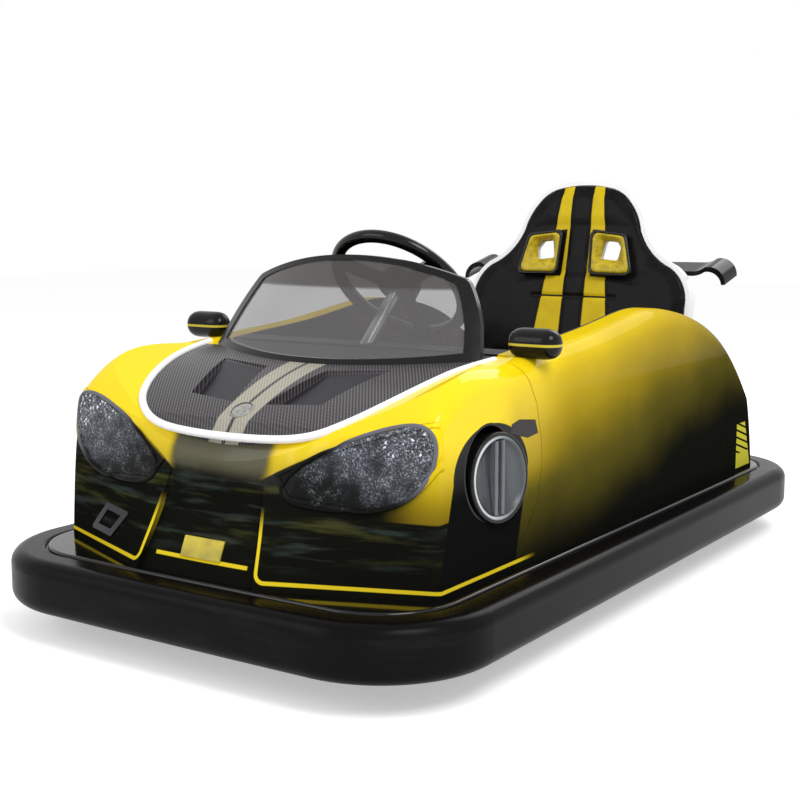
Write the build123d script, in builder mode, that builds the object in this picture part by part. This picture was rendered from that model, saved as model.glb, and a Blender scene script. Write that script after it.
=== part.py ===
from build123d import *
from math import cos, radians, sin
import os

# Battery bumper car, millimetres. X forward, Y to the car's left, Z up.
# The origin is on the floor, under the middle of the rubber ring.

# Rubber ring
LENGTH = 1950.0
WIDTH = 1096.0
RING_BOTTOM = 60.0
RING_HEIGHT = 106.0
RING_WIDTH = 68.0
RING_CORNER = 230.0
RING_BOW = 6.0
RING_OUTER_EDGE = 28.0
RING_INNER_EDGE = 7.0
SEAT_GAP = 0.3

# Steel chassis
BAND_WALL = 6.0
BAND_BOTTOM = 76.0
BAND_INSET = RING_WIDTH + SEAT_GAP
FRAME_INSET = BAND_INSET + BAND_WALL + SEAT_GAP
CROSS_WIDTH = 40.0
CROSS_BOTTOM = 82.0
CROSS_HEIGHT = 40.0
RAIL_WIDTH = 40.0
RAIL_HEIGHT = 34.0
RAIL_Y = 220.0
RAIL_BOTTOM = CROSS_BOTTOM + CROSS_HEIGHT
RAIL_TOP = RAIL_BOTTOM + RAIL_HEIGHT
CROSSMEMBERS = {"crossmember_front": 800.0, "crossmember_middle": 300.0,
                "crossmember_seat": -300.0, "crossmember_rear": -800.0}
TIE_BORE = 16.0
TIE_Y = 340.0

# Floor and deck
FLOOR_THICK = 4.0
FLOOR_TOP = RAIL_TOP + FLOOR_THICK
FLOOR_HALF = 378.0
FLOOR_REAR = -690.0
DECK_THICK = 8.0
DECK_TOP = FLOOR_TOP + DECK_THICK
DECK_LIP = 6.0
GROOVE = 4.0

# Body skin
SKIN = 6.0
TRIM_PROUD = 3.0
SEAM = 2.0
FIT = 0.5
HULL_BASE = 100.0
HULL_HALF = 459.0
HULL_LEAN = 26.0 / 500.0
SHOULDER = 45.0
NOSE_EDGE_SOFT = 60.0

# Sections of the hull in plan: height, nose x, half width of the nose, x of its ends,
# x of the front corners, x of the tail, radius of the front corners, radius of the tail corners
PLAN_SECTIONS = (
    (HULL_BASE, 935, 130, 932, 767, -884, 26, 130),
    (DECK_TOP, 899, 140, 896, 764, -870, 26, 130),
    (278, 851, 158, 845, 762, -848, 34, 130),
    (421, 812, 200, 792, 756, -792, 50, 125),
    (640, 770, 215, 748, 742, -660, 60, 115),
)
# Height of the body over its length: x, height of the shoulder
SHOULDER_LINE = (
    (940, 250), (850, 335), (748, 478), (646, 543), (487, 549), (328, 560), (120, 576),
    (-80, 602), (-200, 614), (-320, 605), (-480, 572), (-620, 508), (-760, 378), (-868, 200),
)
# Valley that the bonnet lies in: x, half width of its floor, height of its floor
VALLEY = (
    (880, 193, 384), (806, 202, 424), (755, 260, 458), (690, 300, 489),
    (605, 330, 519), (520, 345, 537), (430, 362, 547), (380, 372, 552),
)
VALLEY_RISE = 100.0
VALLEY_SPREAD = 270.0
# Space in front of the sunk middle panel of the nose: height, half width, x of the panel
NOSE_PANEL = ((DECK_TOP - 8, 143, 888), (278, 124, 837), (345, 115, 825), (388, 108, 827))
NOSE_PANEL_BOW = 3.0
NOSE_END = 1100.0
CORNER_REAR = 60.0
CORNER_FRONT = 40.0

# Cockpit
OPENING_FRONT = 528.0
OPENING_CORNER = (440.0, 340.0)
OPENING_REAR = -668.0
OPENING_HALF = 365.0
TUB_FRONT = 415.0
TUB_WALL = 5.0
DASH_BOTTOM = 470.0
DASH_REAR = 330.0

# Steering
WHEEL_CENTRE = (219.0, 0.0, 674.0)
WHEEL_LEAN = 44.0
RIM_RADIUS = 150.0
RIM_TUBE = 14.0
HUB_RADIUS = 46.0
COLUMN_RADIUS = 14.0
BEARING_GAP = 0.5

# Drive unit and wheels
DRIVE_X = 590.0
BRIDGE_BOTTOM = 240.0
BRIDGE_THICK = 8.0
BRIDGE_LENGTH = 150.0
BRIDGE_CORNER = 15.0
POST_LENGTH = 130.0
POST_THICK = 12.0
SPINDLE_RADIUS = 20.0
TYRE_RADIUS = 100.0
AXLE_HEIGHT = TYRE_RADIUS
RIM_OUTER = 62.0
DRIVE_TYRE_WIDTH = 56.0
FORK_GAP = 6.0
FORK_PLATE = 8.0
REAR_X = -520.0
REAR_Y = 410.0
REAR_TYRE_WIDTH = 45.0
WHEEL_ROOM = 22.0
AXLE_RADIUS = 12.5
AXLE_END = 14.0
BEARING_LENGTH = 64.0

# Seat
SEAT_FOOT = (-600.0, 0.0, 510.0)
SEAT_LEAN = 11.2
PAD_THICK = 16.0
SHELL_THICK = 30.0
SHELL_EDGE = 12.0
SEAT_BASE_TOP = 330.0
CUSHION_THICK = 70.0
SEAT_HALF = 318.0

os.makedirs("parts", exist_ok=True)


def save(builder, label):
    builder.part.label = label
    export_step(builder.part, f"parts/{label}.step")


# Outlines and tool bodies that several pieces share


def ring_outline(inset):
    """Plan outline of the rubber ring, drawn in by inset."""
    with BuildSketch() as outline:
        with BuildLine():
            front = ThreePointArc(
                (LENGTH / 2 - RING_BOW, -WIDTH / 2), (LENGTH / 2, 0), (LENGTH / 2 - RING_BOW, WIDTH / 2))
            Polyline(front @ 1, (-LENGTH / 2, WIDTH / 2), (-LENGTH / 2, -WIDTH / 2), front @ 0)
        make_face()
        fillet(outline.vertices(), RING_CORNER)
        if inset:
            offset(amount=-inset)
    return outline.sketch


def side_plane(x, y, z, side):
    """Plane that looks out of the given side of the car."""
    return Plane((x, side * y, z), x_dir=(1, 0, 0), z_dir=(0, side, 0))


def cockpit_outline(front, shrink):
    """Plan outline of the cockpit, with a bowed front edge or a straight one."""
    corner_x, corner_y = OPENING_CORNER
    with BuildSketch() as outline:
        with BuildLine():
            if front > corner_x:
                ThreePointArc((corner_x, -corner_y), (front, 0), (corner_x, corner_y))
                start = corner_x
            else:
                Line((front, -corner_y), (front, corner_y))
                start = front
            Polyline((start, corner_y), (OPENING_REAR, OPENING_HALF),
                     (OPENING_REAR, -OPENING_HALF), (start, -corner_y))
        make_face()
        fillet(outline.vertices().group_by(Axis.X)[0], CORNER_REAR)
        fillet(outline.vertices().group_by(Axis.X)[-1], CORNER_FRONT)
        if shrink:
            offset(amount=-shrink)
    return outline.sketch


def plan_form(inset):
    """Nose, sides and tail of the body, lofted upwards through the plan sections."""
    with BuildPart() as form:
        for height, nose, half, edge, corner, tail, front_radius, tail_radius in PLAN_SECTIONS:
            side = HULL_HALF + 1
            with BuildSketch(Plane.XY.offset(height)) as section:
                with BuildLine():
                    ThreePointArc((edge, -half), (nose, 0), (edge, half))
                    Polyline((edge, half), (corner, side), (tail, side),
                             (tail, -side), (corner, -side), (edge, -half))
                make_face()
                fillet(section.vertices().group_by(Axis.X)[0], tail_radius)
                fillet([v for v in section.vertices() if abs(v.X - corner) < 1], front_radius)
                fillet([v for v in section.vertices() if abs(v.X - edge) < 1], NOSE_EDGE_SOFT)
                if inset:
                    offset(amount=-inset)
        loft()
    return form.part


def shoulder_form(inset):
    """Top and sides of the body, lofted along it with rounded shoulders."""
    with BuildPart() as form:
        for x, height in SHOULDER_LINE:
            top_half = HULL_HALF - HULL_LEAN * (height - HULL_BASE)
            with BuildSketch(Plane.YZ.offset(x)) as section:
                with BuildLine():
                    Polyline((-HULL_HALF, HULL_BASE), (HULL_HALF, HULL_BASE),
                             (top_half, height), (-top_half, height), close=True)
                make_face()
                fillet(section.vertices().group_by(Axis.Y)[-1], SHOULDER)
                if inset:
                    offset(amount=-inset)
        loft()
    return form.part


def valley_form(inset):
    """Space over the bonnet, between the fenders."""
    with BuildPart() as form:
        for x, half, floor in VALLEY:
            bottom = floor - inset
            with BuildSketch(Plane.YZ.offset(x)):
                with BuildLine():
                    Polyline((-half - inset, bottom), (half + inset, bottom),
                             (half + VALLEY_SPREAD + inset, bottom + VALLEY_RISE),
                             (-half - VALLEY_SPREAD - inset, bottom + VALLEY_RISE), close=True)
                make_face()
        loft()
    return form.part


def nose_space(inset):
    """Space in front of the sunk middle panel of the nose."""
    with BuildPart() as form:
        for height, half, x in NOSE_PANEL:
            side = half + inset
            face = x - inset
            with BuildSketch(Plane.XY.offset(height)):
                with BuildLine():
                    ThreePointArc((face - NOSE_PANEL_BOW, -side), (face, 0), (face - NOSE_PANEL_BOW, side))
                    Polyline((face - NOSE_PANEL_BOW, side), (NOSE_END, side),
                             (NOSE_END, -side), (face - NOSE_PANEL_BOW, -side))
                make_face()
        loft(ruled=True)
    return form.part


def body_form(inset):
    """Closed outer form of the body, drawn in by inset."""
    with BuildPart() as form:
        add(plan_form(inset))
        add(shoulder_form(inset), mode=Mode.INTERSECT)
        add(valley_form(inset), mode=Mode.SUBTRACT)
        add(nose_space(inset), mode=Mode.SUBTRACT)
    return form.part


outer_form = body_form(0)
inner_form = body_form(SKIN)
proud_form = body_form(-TRIM_PROUD)

# Chassis

with BuildPart() as bumper_ring:
    with BuildSketch(Plane.XY.offset(RING_BOTTOM)):
        add(ring_outline(0))
    extrude(amount=RING_HEIGHT)
    fillet(bumper_ring.faces().filter_by(Axis.Z).edges(), RING_OUTER_EDGE)
    with BuildSketch(Plane.XY.offset(RING_BOTTOM)):
        add(ring_outline(RING_WIDTH))
    extrude(amount=RING_HEIGHT, mode=Mode.SUBTRACT)
    inner_edges = [wire.edges() for face in bumper_ring.faces().filter_by(Axis.Z) for wire in face.inner_wires()]
    fillet([edge for edges in inner_edges for edge in edges], RING_INNER_EDGE)
save(bumper_ring, "bumper_ring")

# Flat steel band that the ring is bolted to
with BuildPart() as bumper_band:
    with BuildSketch(Plane.XY.offset(BAND_BOTTOM)):
        add(ring_outline(BAND_INSET))
        add(ring_outline(BAND_INSET + BAND_WALL), mode=Mode.SUBTRACT)
    extrude(amount=FLOOR_TOP - BAND_BOTTOM)
save(bumper_band, "bumper_band")

with BuildPart() as frame_room:
    with BuildSketch(Plane.XY.offset(CROSS_BOTTOM)):
        add(ring_outline(FRAME_INSET))
    extrude(amount=RAIL_TOP - CROSS_BOTTOM)

for label, x in CROSSMEMBERS.items():
    with BuildPart() as crossmember:
        with Locations((x, 0, CROSS_BOTTOM + CROSS_HEIGHT / 2)):
            Box(CROSS_WIDTH, WIDTH, CROSS_HEIGHT)
        add(frame_room.part, mode=Mode.INTERSECT)
        if abs(x) > CROSSMEMBERS["crossmember_middle"]:
            with Locations((x, TIE_Y, RAIL_BOTTOM), (x, -TIE_Y, RAIL_BOTTOM)):
                Hole(TIE_BORE / 2, depth=CROSS_HEIGHT)
    save(crossmember, label)

# Lengthwise rails, with a post each for the bridge over the drive wheel
for label, side in (("rail_left", 1), ("rail_right", -1)):
    with BuildPart() as rail:
        with Locations((0, side * RAIL_Y, RAIL_BOTTOM + RAIL_HEIGHT / 2)):
            Box(LENGTH, RAIL_WIDTH, RAIL_HEIGHT)
        add(frame_room.part, mode=Mode.INTERSECT)
        with Locations((DRIVE_X, side * RAIL_Y, RAIL_TOP)):
            Box(POST_LENGTH, POST_THICK, BRIDGE_BOTTOM - RAIL_TOP, align=(Align.CENTER, Align.CENTER, Align.MIN))
    save(rail, label)

with BuildPart() as drive_bridge:
    with Locations((DRIVE_X, 0, BRIDGE_BOTTOM)):
        Box(BRIDGE_LENGTH, 2 * RAIL_Y + 2 * POST_THICK, BRIDGE_THICK,
            align=(Align.CENTER, Align.CENTER, Align.MIN))
        fillet(drive_bridge.edges().filter_by(Axis.Z), BRIDGE_CORNER)
    with Locations((DRIVE_X, 0, BRIDGE_BOTTOM + BRIDGE_THICK)):
        Hole(SPINDLE_RADIUS + BEARING_GAP, depth=BRIDGE_THICK)
save(drive_bridge, "drive_bridge")

# Steel floor with the opening over the drive wheel
DRIVE_OPENING = 178.0
POST_GAP = 20.0
with BuildPart() as floor_plate:
    with BuildSketch(Plane.XY.offset(RAIL_TOP)):
        with Locations(((TUB_FRONT + FLOOR_REAR) / 2, 0)):
            Rectangle(TUB_FRONT - FLOOR_REAR, 2 * FLOOR_HALF)
    extrude(amount=FLOOR_THICK)
    with Locations((DRIVE_X, 0, FLOOR_TOP)):
        Hole(DRIVE_OPENING, depth=FLOOR_THICK)
save(floor_plate, "floor_plate")

# Moulded deck: the glossy flange round the body
WHEEL_SLOT = (2 * TYRE_RADIUS + 2 * WHEEL_ROOM, REAR_TYRE_WIDTH + WHEEL_ROOM)
with BuildPart() as deck:
    with BuildSketch(Plane.XY.offset(FLOOR_TOP)):
        add(ring_outline(RING_WIDTH + GROOVE))
    extrude(amount=DECK_THICK)
    fillet(deck.faces().sort_by(Axis.Z)[-1].edges(), DECK_LIP)
    with BuildSketch(Plane.XY.offset(FLOOR_TOP)):
        add(cockpit_outline(TUB_FRONT, 0))
        with Locations((DRIVE_X, 0)):
            Circle(DRIVE_OPENING)
            Rectangle(POST_LENGTH, 2 * RAIL_Y + 2 * POST_GAP)
        with Locations((REAR_X, REAR_Y), (REAR_X, -REAR_Y)):
            Rectangle(*WHEEL_SLOT)
    extrude(amount=DECK_THICK, mode=Mode.SUBTRACT)
save(deck, "deck")

with BuildPart() as rear_axle:
    with BuildSketch(side_plane(REAR_X, 0, AXLE_HEIGHT, 1)):
        Circle(AXLE_RADIUS)
    extrude(amount=REAR_Y + REAR_TYRE_WIDTH / 2 + AXLE_END, both=True)
save(rear_axle, "rear_axle")

with BuildPart() as axle_bearings:
    with Locations((REAR_X, RAIL_Y, RAIL_BOTTOM), (REAR_X, -RAIL_Y, RAIL_BOTTOM)):
        Box(BEARING_LENGTH, RAIL_WIDTH, 2 * (RAIL_BOTTOM - AXLE_HEIGHT),
            align=(Align.CENTER, Align.CENTER, Align.MAX))
    with BuildSketch(side_plane(REAR_X, 0, AXLE_HEIGHT, 1)):
        Circle(AXLE_RADIUS + SEAT_GAP)
    extrude(amount=WIDTH / 2, both=True, mode=Mode.SUBTRACT)
save(axle_bearings, "axle_bearings")

BATTERY_X = -330.0
BATTERY = (260.0, 340.0, 130.0)
BATTERY_CORNER = 10.0
with BuildPart() as battery:
    with Locations((BATTERY_X, 0, FLOOR_TOP)):
        Box(*BATTERY, align=(Align.CENTER, Align.CENTER, Align.MIN))
    fillet(battery.edges().filter_by(Axis.Z), BATTERY_CORNER)
save(battery, "battery")


# Body skin


def skin_form():
    with BuildPart() as skin:
        add(outer_form)
        add(inner_form, mode=Mode.SUBTRACT)
        with Locations((0, 0, DECK_TOP)):
            Box(2 * LENGTH, WIDTH, 2 * WIDTH, align=(Align.CENTER, Align.CENTER, Align.MIN),
                mode=Mode.INTERSECT)
        with BuildSketch(Plane.XY.offset(DECK_TOP)):
            add(cockpit_outline(OPENING_FRONT, 0))
        extrude(amount=WIDTH, mode=Mode.SUBTRACT)
    return skin.part


def side_prism(points, grow):
    """Prism across the whole car from an outline in the side view."""
    with BuildPart() as prism:
        with BuildSketch(Plane.XZ):
            with BuildLine():
                Polyline(*points, close=True)
            make_face()
            if grow:
                offset(amount=grow, kind=Kind.INTERSECTION)
        extrude(amount=WIDTH, both=True)
    return prism.part


# Half outline of the bonnet in plan, as arcs: start, middle, end
BONNET_ARCS = (((803, 0), (798, 100), (784, 192)), ((784, 192), (745, 265), (690, 297)),
               ((690, 297), (575, 335), (450, 356)))


def bonnet_outline(grow):
    with BuildSketch(Plane.XY.offset(DECK_TOP)) as outline:
        with BuildLine():
            for arc in BONNET_ARCS:
                ThreePointArc(*arc)
            Line(BONNET_ARCS[-1][-1], (BONNET_ARCS[-1][-1][0], 0))
            mirror(about=Plane.XZ)
        make_face()
        if grow:
            offset(amount=grow)
    return outline.sketch


# Seam between the front shell and the flank, in the side view
FRONT_SEAM = ((1100, 60), (1100, 800), (446, 800), (446, 545), (402, 470), (388, 400), (388, 350),
              (410, 285), (452, 240), (520, 192), (560, 160), (560, 60))
TAIL_SEAM_X = -610.0

body_skin = skin_form()
front_room = side_prism(FRONT_SEAM, 0)
front_room_wide = side_prism(FRONT_SEAM, SEAM)

# Headlamp outline in the front view, on the left fender, from the inner tip over the top
LAMP_BACK = 738.0
LAMP_TIP = (134, 366)
LAMP_TOP = ((134, 366), (270, 428), (404, 470))
LAMP_CORNER = (458, 480)
LAMP_BOTTOM = ((455, 414), (396, 338), (296, 311))
LAMP_TURN = (168, 322)
LAMP_SOFT = 26.0
LAMP_RIM = 7.0


def lamp_prism(side, shrink, back):
    with BuildPart() as prism:
        with BuildSketch(Plane.YZ.offset(back)) as outline:
            with BuildLine():
                ThreePointArc(*LAMP_TOP)
                Polyline(LAMP_TOP[-1], LAMP_CORNER, LAMP_BOTTOM[0])
                ThreePointArc(*LAMP_BOTTOM)
                Polyline(LAMP_BOTTOM[-1], LAMP_TURN, LAMP_TIP)
            make_face()
            fillet(outline.vertices().sort_by(Axis.Y)[-1], LAMP_SOFT)
            fillet(outline.vertices().sort_by_distance(Vector(*LAMP_TURN))[0], LAMP_SOFT)
            if side < 0:
                mirror(about=Plane.YZ, mode=Mode.REPLACE)
            if shrink:
                offset(amount=-shrink)
        extrude(amount=LENGTH - back)
    return prism.part


ARCH_X = 585.0
ARCH_Z = 364.0
ARCH_RADIUS = 90.0
ARCH_BACK = 396.0
ARCH_WALL = 4.0
HUB_SHIFT = -6.0
COVER_RADIUS = 74.0
COVER_DEPTH = 30.0
COVER_LIP = 6.0
SPOKE_STEP = 8.0
SPOKE_Y = 16.0
SPOKE_WIDTH = 14.0
VENT = ((399, 412), (408, 438), (470, 446), (500, 440), (506, 424), (440, 408))

with BuildPart() as front_shell:
    add(body_skin)
    add(front_room, mode=Mode.INTERSECT)
    add(bonnet_outline(FIT))
    extrude(amount=WIDTH, mode=Mode.SUBTRACT)
    for side in (1, -1):
        add(lamp_prism(side, 0, LAMP_BACK), mode=Mode.SUBTRACT)
        with BuildSketch(side_plane(ARCH_X, ARCH_BACK, ARCH_Z, side)):
            Circle(ARCH_RADIUS)
        extrude(amount=WIDTH, mode=Mode.SUBTRACT)
    add(side_prism(VENT, FIT), mode=Mode.SUBTRACT)
save(front_shell, "front_shell")

for label, side in (("headlamp_left", 1), ("headlamp_right", -1)):
    with BuildPart() as headlamp:
        add(outer_form)
        add(inner_form, mode=Mode.SUBTRACT)
        add(lamp_prism(side, LAMP_RIM + 2 * FIT, LAMP_BACK + FIT), mode=Mode.INTERSECT)
    save(headlamp, label)

with BuildPart() as headlamp_rims:
    for side in (1, -1):
        add(lamp_prism(side, FIT, LAMP_BACK + FIT))
        add(lamp_prism(side, LAMP_RIM + FIT, LAMP_BACK + FIT), mode=Mode.SUBTRACT)
    add(proud_form, mode=Mode.INTERSECT)
    add(inner_form, mode=Mode.SUBTRACT)
save(headlamp_rims, "headlamp_rims")

for label, side in (("flank_left", 1), ("flank_right", -1)):
    with BuildPart() as flank:
        add(body_skin)
        add(front_room_wide, mode=Mode.SUBTRACT)
        with Locations((TAIL_SEAM_X + SEAM, 0, 0)):
            Box(LENGTH, WIDTH, 2 * WIDTH, align=(Align.MIN, Align.MIN if side > 0 else Align.MAX, Align.CENTER),
                mode=Mode.INTERSECT)
    save(flank, label)

TAIL_LAMP_Y = 300.0
TAIL_LAMP_Z = 300.0
TAIL_LAMP_RADIUS = 34.0


def tail_lamp_prism(radius):
    with BuildPart() as prism:
        with BuildSketch(Plane.YZ.offset(-LENGTH / 2)):
            with Locations((TAIL_LAMP_Y, TAIL_LAMP_Z), (-TAIL_LAMP_Y, TAIL_LAMP_Z)):
                Circle(radius)
        extrude(amount=LENGTH / 2)
    return prism.part


with BuildPart() as tail_shell:
    add(body_skin)
    with Locations((TAIL_SEAM_X, 0, 0)):
        Box(LENGTH, WIDTH, 2 * WIDTH, align=(Align.MAX, Align.CENTER, Align.CENTER), mode=Mode.INTERSECT)
    add(tail_lamp_prism(TAIL_LAMP_RADIUS + SEAT_GAP), mode=Mode.SUBTRACT)
save(tail_shell, "tail_shell")

# Two scoops sunk in the bonnet: corners in plan, and the floor from the rear to the front
SCOOP = ((722, 44), (708, 158), (560, 205), (584, 78))
SCOOP_FLOOR = ((548, 537), (726, 458))


def scoop_space(grow):
    with BuildPart() as space:
        with BuildSketch(Plane.XY.offset(DECK_TOP)):
            with BuildLine():
                Polyline(*SCOOP, close=True)
            make_face()
            offset(amount=grow)
            mirror(about=Plane.XZ)
        extrude(amount=WIDTH)
        with BuildSketch(Plane.XZ):
            with BuildLine():
                (rear_x, rear_z), (front_x, front_z) = SCOOP_FLOOR
                Polyline((rear_x, rear_z - grow), (front_x + grow, front_z - grow), (front_x + grow, WIDTH),
                         (rear_x, WIDTH), close=True)
            make_face()
        extrude(amount=WIDTH, both=True, mode=Mode.INTERSECT)
    return space.part


SCOOP_SOFT = 4.0
with BuildPart() as bonnet:
    add(outer_form)
    add(scoop_space(SCOOP_SOFT), mode=Mode.SUBTRACT)
    with BuildPart(mode=Mode.PRIVATE) as bonnet_inside:
        add(inner_form)
        add(scoop_space(SCOOP_SOFT + SKIN), mode=Mode.SUBTRACT)
    add(bonnet_inside.part, mode=Mode.SUBTRACT)
    add(bonnet_outline(0))
    extrude(amount=WIDTH, mode=Mode.INTERSECT)
    with BuildSketch(Plane.XY.offset(DECK_TOP)):
        add(cockpit_outline(OPENING_FRONT, 0))
    extrude(amount=WIDTH, mode=Mode.SUBTRACT)
save(bonnet, "bonnet")

PIPING_RADIUS = 7.5
PIPING_SOFT = 55.0
PIPING_HALF = ((432, 364, 549), (520, 347, 540), (605, 331, 521), (690, 301, 492),
               (755, 259, 461), (793, 190, 429), (812, 60, 421))
with BuildPart() as bonnet_piping:
    with BuildLine() as path:
        right = [(x, -y, z) for x, y, z in reversed(PIPING_HALF)]
        FilletPolyline(*PIPING_HALF, *right, radius=PIPING_SOFT)
    with BuildSketch(Plane(path.line @ 0, z_dir=path.line % 0)):
        Circle(PIPING_RADIUS)
    sweep()
    add(outer_form, mode=Mode.SUBTRACT)
save(bonnet_piping, "bonnet_piping")

# Moulded wheel look behind each arch: a dish, a sunk disc with a lip and two spokes
for label, side in (("wheel_cover_left", 1), ("wheel_cover_right", -1)):
    dish_floor = ARCH_BACK + ARCH_WALL
    disc_face = ARCH_BACK + COVER_DEPTH
    with BuildPart() as cover:
        with BuildSketch(side_plane(ARCH_X, ARCH_BACK, ARCH_Z, side)):
            Circle(ARCH_RADIUS - FIT)
        extrude(amount=WIDTH / 2 - ARCH_BACK)
        with BuildSketch(side_plane(ARCH_X, dish_floor, ARCH_Z, side)):
            Circle(ARCH_RADIUS - FIT - ARCH_WALL)
        extrude(amount=WIDTH / 2 - ARCH_BACK, mode=Mode.SUBTRACT)
        with BuildSketch(side_plane(ARCH_X + HUB_SHIFT, dish_floor, ARCH_Z + HUB_SHIFT, side)):
            Circle(COVER_RADIUS)
        extrude(amount=disc_face - dish_floor)
        with BuildSketch(side_plane(ARCH_X + HUB_SHIFT, disc_face, ARCH_Z + HUB_SHIFT, side)):
            with Locations((-SPOKE_Y, 0), (SPOKE_Y, 0)):
                Rectangle(SPOKE_WIDTH, 2 * COVER_RADIUS)
            Circle(COVER_RADIUS, mode=Mode.INTERSECT)
            Circle(COVER_RADIUS)
            Circle(COVER_RADIUS - COVER_LIP, mode=Mode.SUBTRACT)
            with Locations((-SPOKE_Y, 0), (SPOKE_Y, 0)):
                Rectangle(SPOKE_WIDTH, 2 * (COVER_RADIUS - COVER_LIP))
        extrude(amount=SPOKE_STEP)
        add(outer_form, mode=Mode.INTERSECT)
    save(cover, label)

with BuildPart() as side_vents:
    add(outer_form)
    add(inner_form, mode=Mode.SUBTRACT)
    add(side_prism(VENT, 0), mode=Mode.INTERSECT)
save(side_vents, "side_vents")

wheel_plane = Plane(WHEEL_CENTRE, x_dir=(sin(radians(WHEEL_LEAN)), 0, cos(radians(WHEEL_LEAN))),
                    z_dir=(-cos(radians(WHEEL_LEAN)), 0, sin(radians(WHEEL_LEAN))))
COLUMN_LENGTH = 470.0
COLUMN_HOLE = 8.0

# Cockpit liner under the edge of the opening
with BuildPart() as cockpit_tub:
    with BuildSketch(Plane.XY.offset(FLOOR_TOP)):
        add(cockpit_outline(TUB_FRONT, FIT))
        add(cockpit_outline(TUB_FRONT, FIT + TUB_WALL), mode=Mode.SUBTRACT)
    extrude(amount=WIDTH)
    add(outer_form, mode=Mode.INTERSECT)
    with Locations((DASH_REAR, 0, DASH_BOTTOM)):
        Box(WIDTH, WIDTH, WIDTH, align=(Align.MIN, Align.CENTER, Align.MIN), mode=Mode.SUBTRACT)
    with BuildSketch(wheel_plane.offset(-COLUMN_LENGTH)):
        Circle(COLUMN_RADIUS + COLUMN_HOLE)
    extrude(amount=COLUMN_LENGTH, mode=Mode.SUBTRACT)
save(cockpit_tub, "cockpit_tub")

# Dashboard, hollow from below beside the column
DASH_POCKET = (120.0, 220.0, 60.0)
DASH_POCKET_Y = 190.0
DASH_WALL = 15.0
with BuildPart() as dash:
    with BuildSketch(Plane.XY.offset(DASH_BOTTOM)):
        add(cockpit_outline(OPENING_FRONT, FIT))
        with Locations((DASH_REAR, 0)):
            Rectangle(WIDTH, WIDTH, align=(Align.MIN, Align.CENTER), mode=Mode.INTERSECT)
    extrude(amount=WIDTH)
    add(outer_form, mode=Mode.INTERSECT)
    with BuildSketch(wheel_plane.offset(-COLUMN_LENGTH)):
        Circle(COLUMN_RADIUS + BEARING_GAP)
    extrude(amount=COLUMN_LENGTH, mode=Mode.SUBTRACT)
    with BuildSketch(Plane.XY.offset(DASH_BOTTOM)):
        pocket_x = DASH_REAR + DASH_WALL + DASH_POCKET[0] / 2
        with Locations((pocket_x, DASH_POCKET_Y), (pocket_x, -DASH_POCKET_Y)):
            Rectangle(DASH_POCKET[0], DASH_POCKET[1])
    extrude(amount=DASH_POCKET[2], mode=Mode.SUBTRACT)
save(dash, "dash")

# Windscreen: a curved sheet between two heights, cut by an outline in the front view

GLASS = 5.0
FRAME_DEPTH = 12.0
GLASS_STEP = 3.0
SCREEN_REAR = 100.0
# Height, x of the middle, x of the ends and half width of the screen's outer face
SCREEN_SECTIONS = ((520, 556, 452, 345), (780, 380, 312, 262))
# Half outlines of the frame in the front view: top arc, side arc and the straight foot
FRAME_TOP = ((0, 745), (150, 731), (266, 698))
FRAME_SIDE = ((266, 698), (312, 620), (338, 530))
FRAME_FOOT = 480.0
FRAME_SOFT = 34.0
SIGHT_TOP = ((0, 735), (140, 722), (246, 692))
SIGHT_SIDE = ((246, 692), (284, 622), (303, 561))
SIGHT_FOOT = ((303, 561), (150, 547), (0, 543))
SIGHT_SOFT = 24.0


def screen_form(inset):
    with BuildPart() as form:
        for height, middle, end, half in SCREEN_SECTIONS:
            with BuildSketch(Plane.XY.offset(height)):
                with BuildLine():
                    ThreePointArc((end - inset, -half), (middle - inset, 0), (end - inset, half))
                    Polyline((end - inset, half), (SCREEN_REAR, half), (SCREEN_REAR, -half), (end - inset, -half))
                make_face()
        loft(ruled=True)
    return form.part


def screen_prism(top, side, foot, soft):
    with BuildPart() as prism:
        with BuildSketch(Plane.YZ) as outline:
            with BuildLine():
                ThreePointArc(*top)
                ThreePointArc(*side)
                if len(foot) == 3:
                    ThreePointArc(*foot)
                else:
                    Polyline(side[-1], *foot)
                mirror(about=Plane.YZ)
            make_face()
            fillet([v for v in outline.vertices() if abs(v.Y - top[-1][1]) < 1], soft)
        extrude(amount=LENGTH)
    return prism.part


frame_foot = ((FRAME_SIDE[-1][0], FRAME_FOOT), (0, FRAME_FOOT))
with BuildPart() as windscreen_frame:
    add(screen_form(0))
    add(screen_form(FRAME_DEPTH), mode=Mode.SUBTRACT)
    add(screen_prism(FRAME_TOP, FRAME_SIDE, frame_foot, FRAME_SOFT), mode=Mode.INTERSECT)
    add(screen_prism(SIGHT_TOP, SIGHT_SIDE, SIGHT_FOOT, SIGHT_SOFT), mode=Mode.SUBTRACT)
    add(outer_form, mode=Mode.SUBTRACT)
save(windscreen_frame, "windscreen_frame")

with BuildPart() as windscreen:
    add(screen_form(GLASS_STEP))
    add(screen_form(GLASS_STEP + GLASS), mode=Mode.SUBTRACT)
    add(screen_prism(SIGHT_TOP, SIGHT_SIDE, SIGHT_FOOT, SIGHT_SOFT), mode=Mode.INTERSECT)
save(windscreen, "windscreen")

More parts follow.
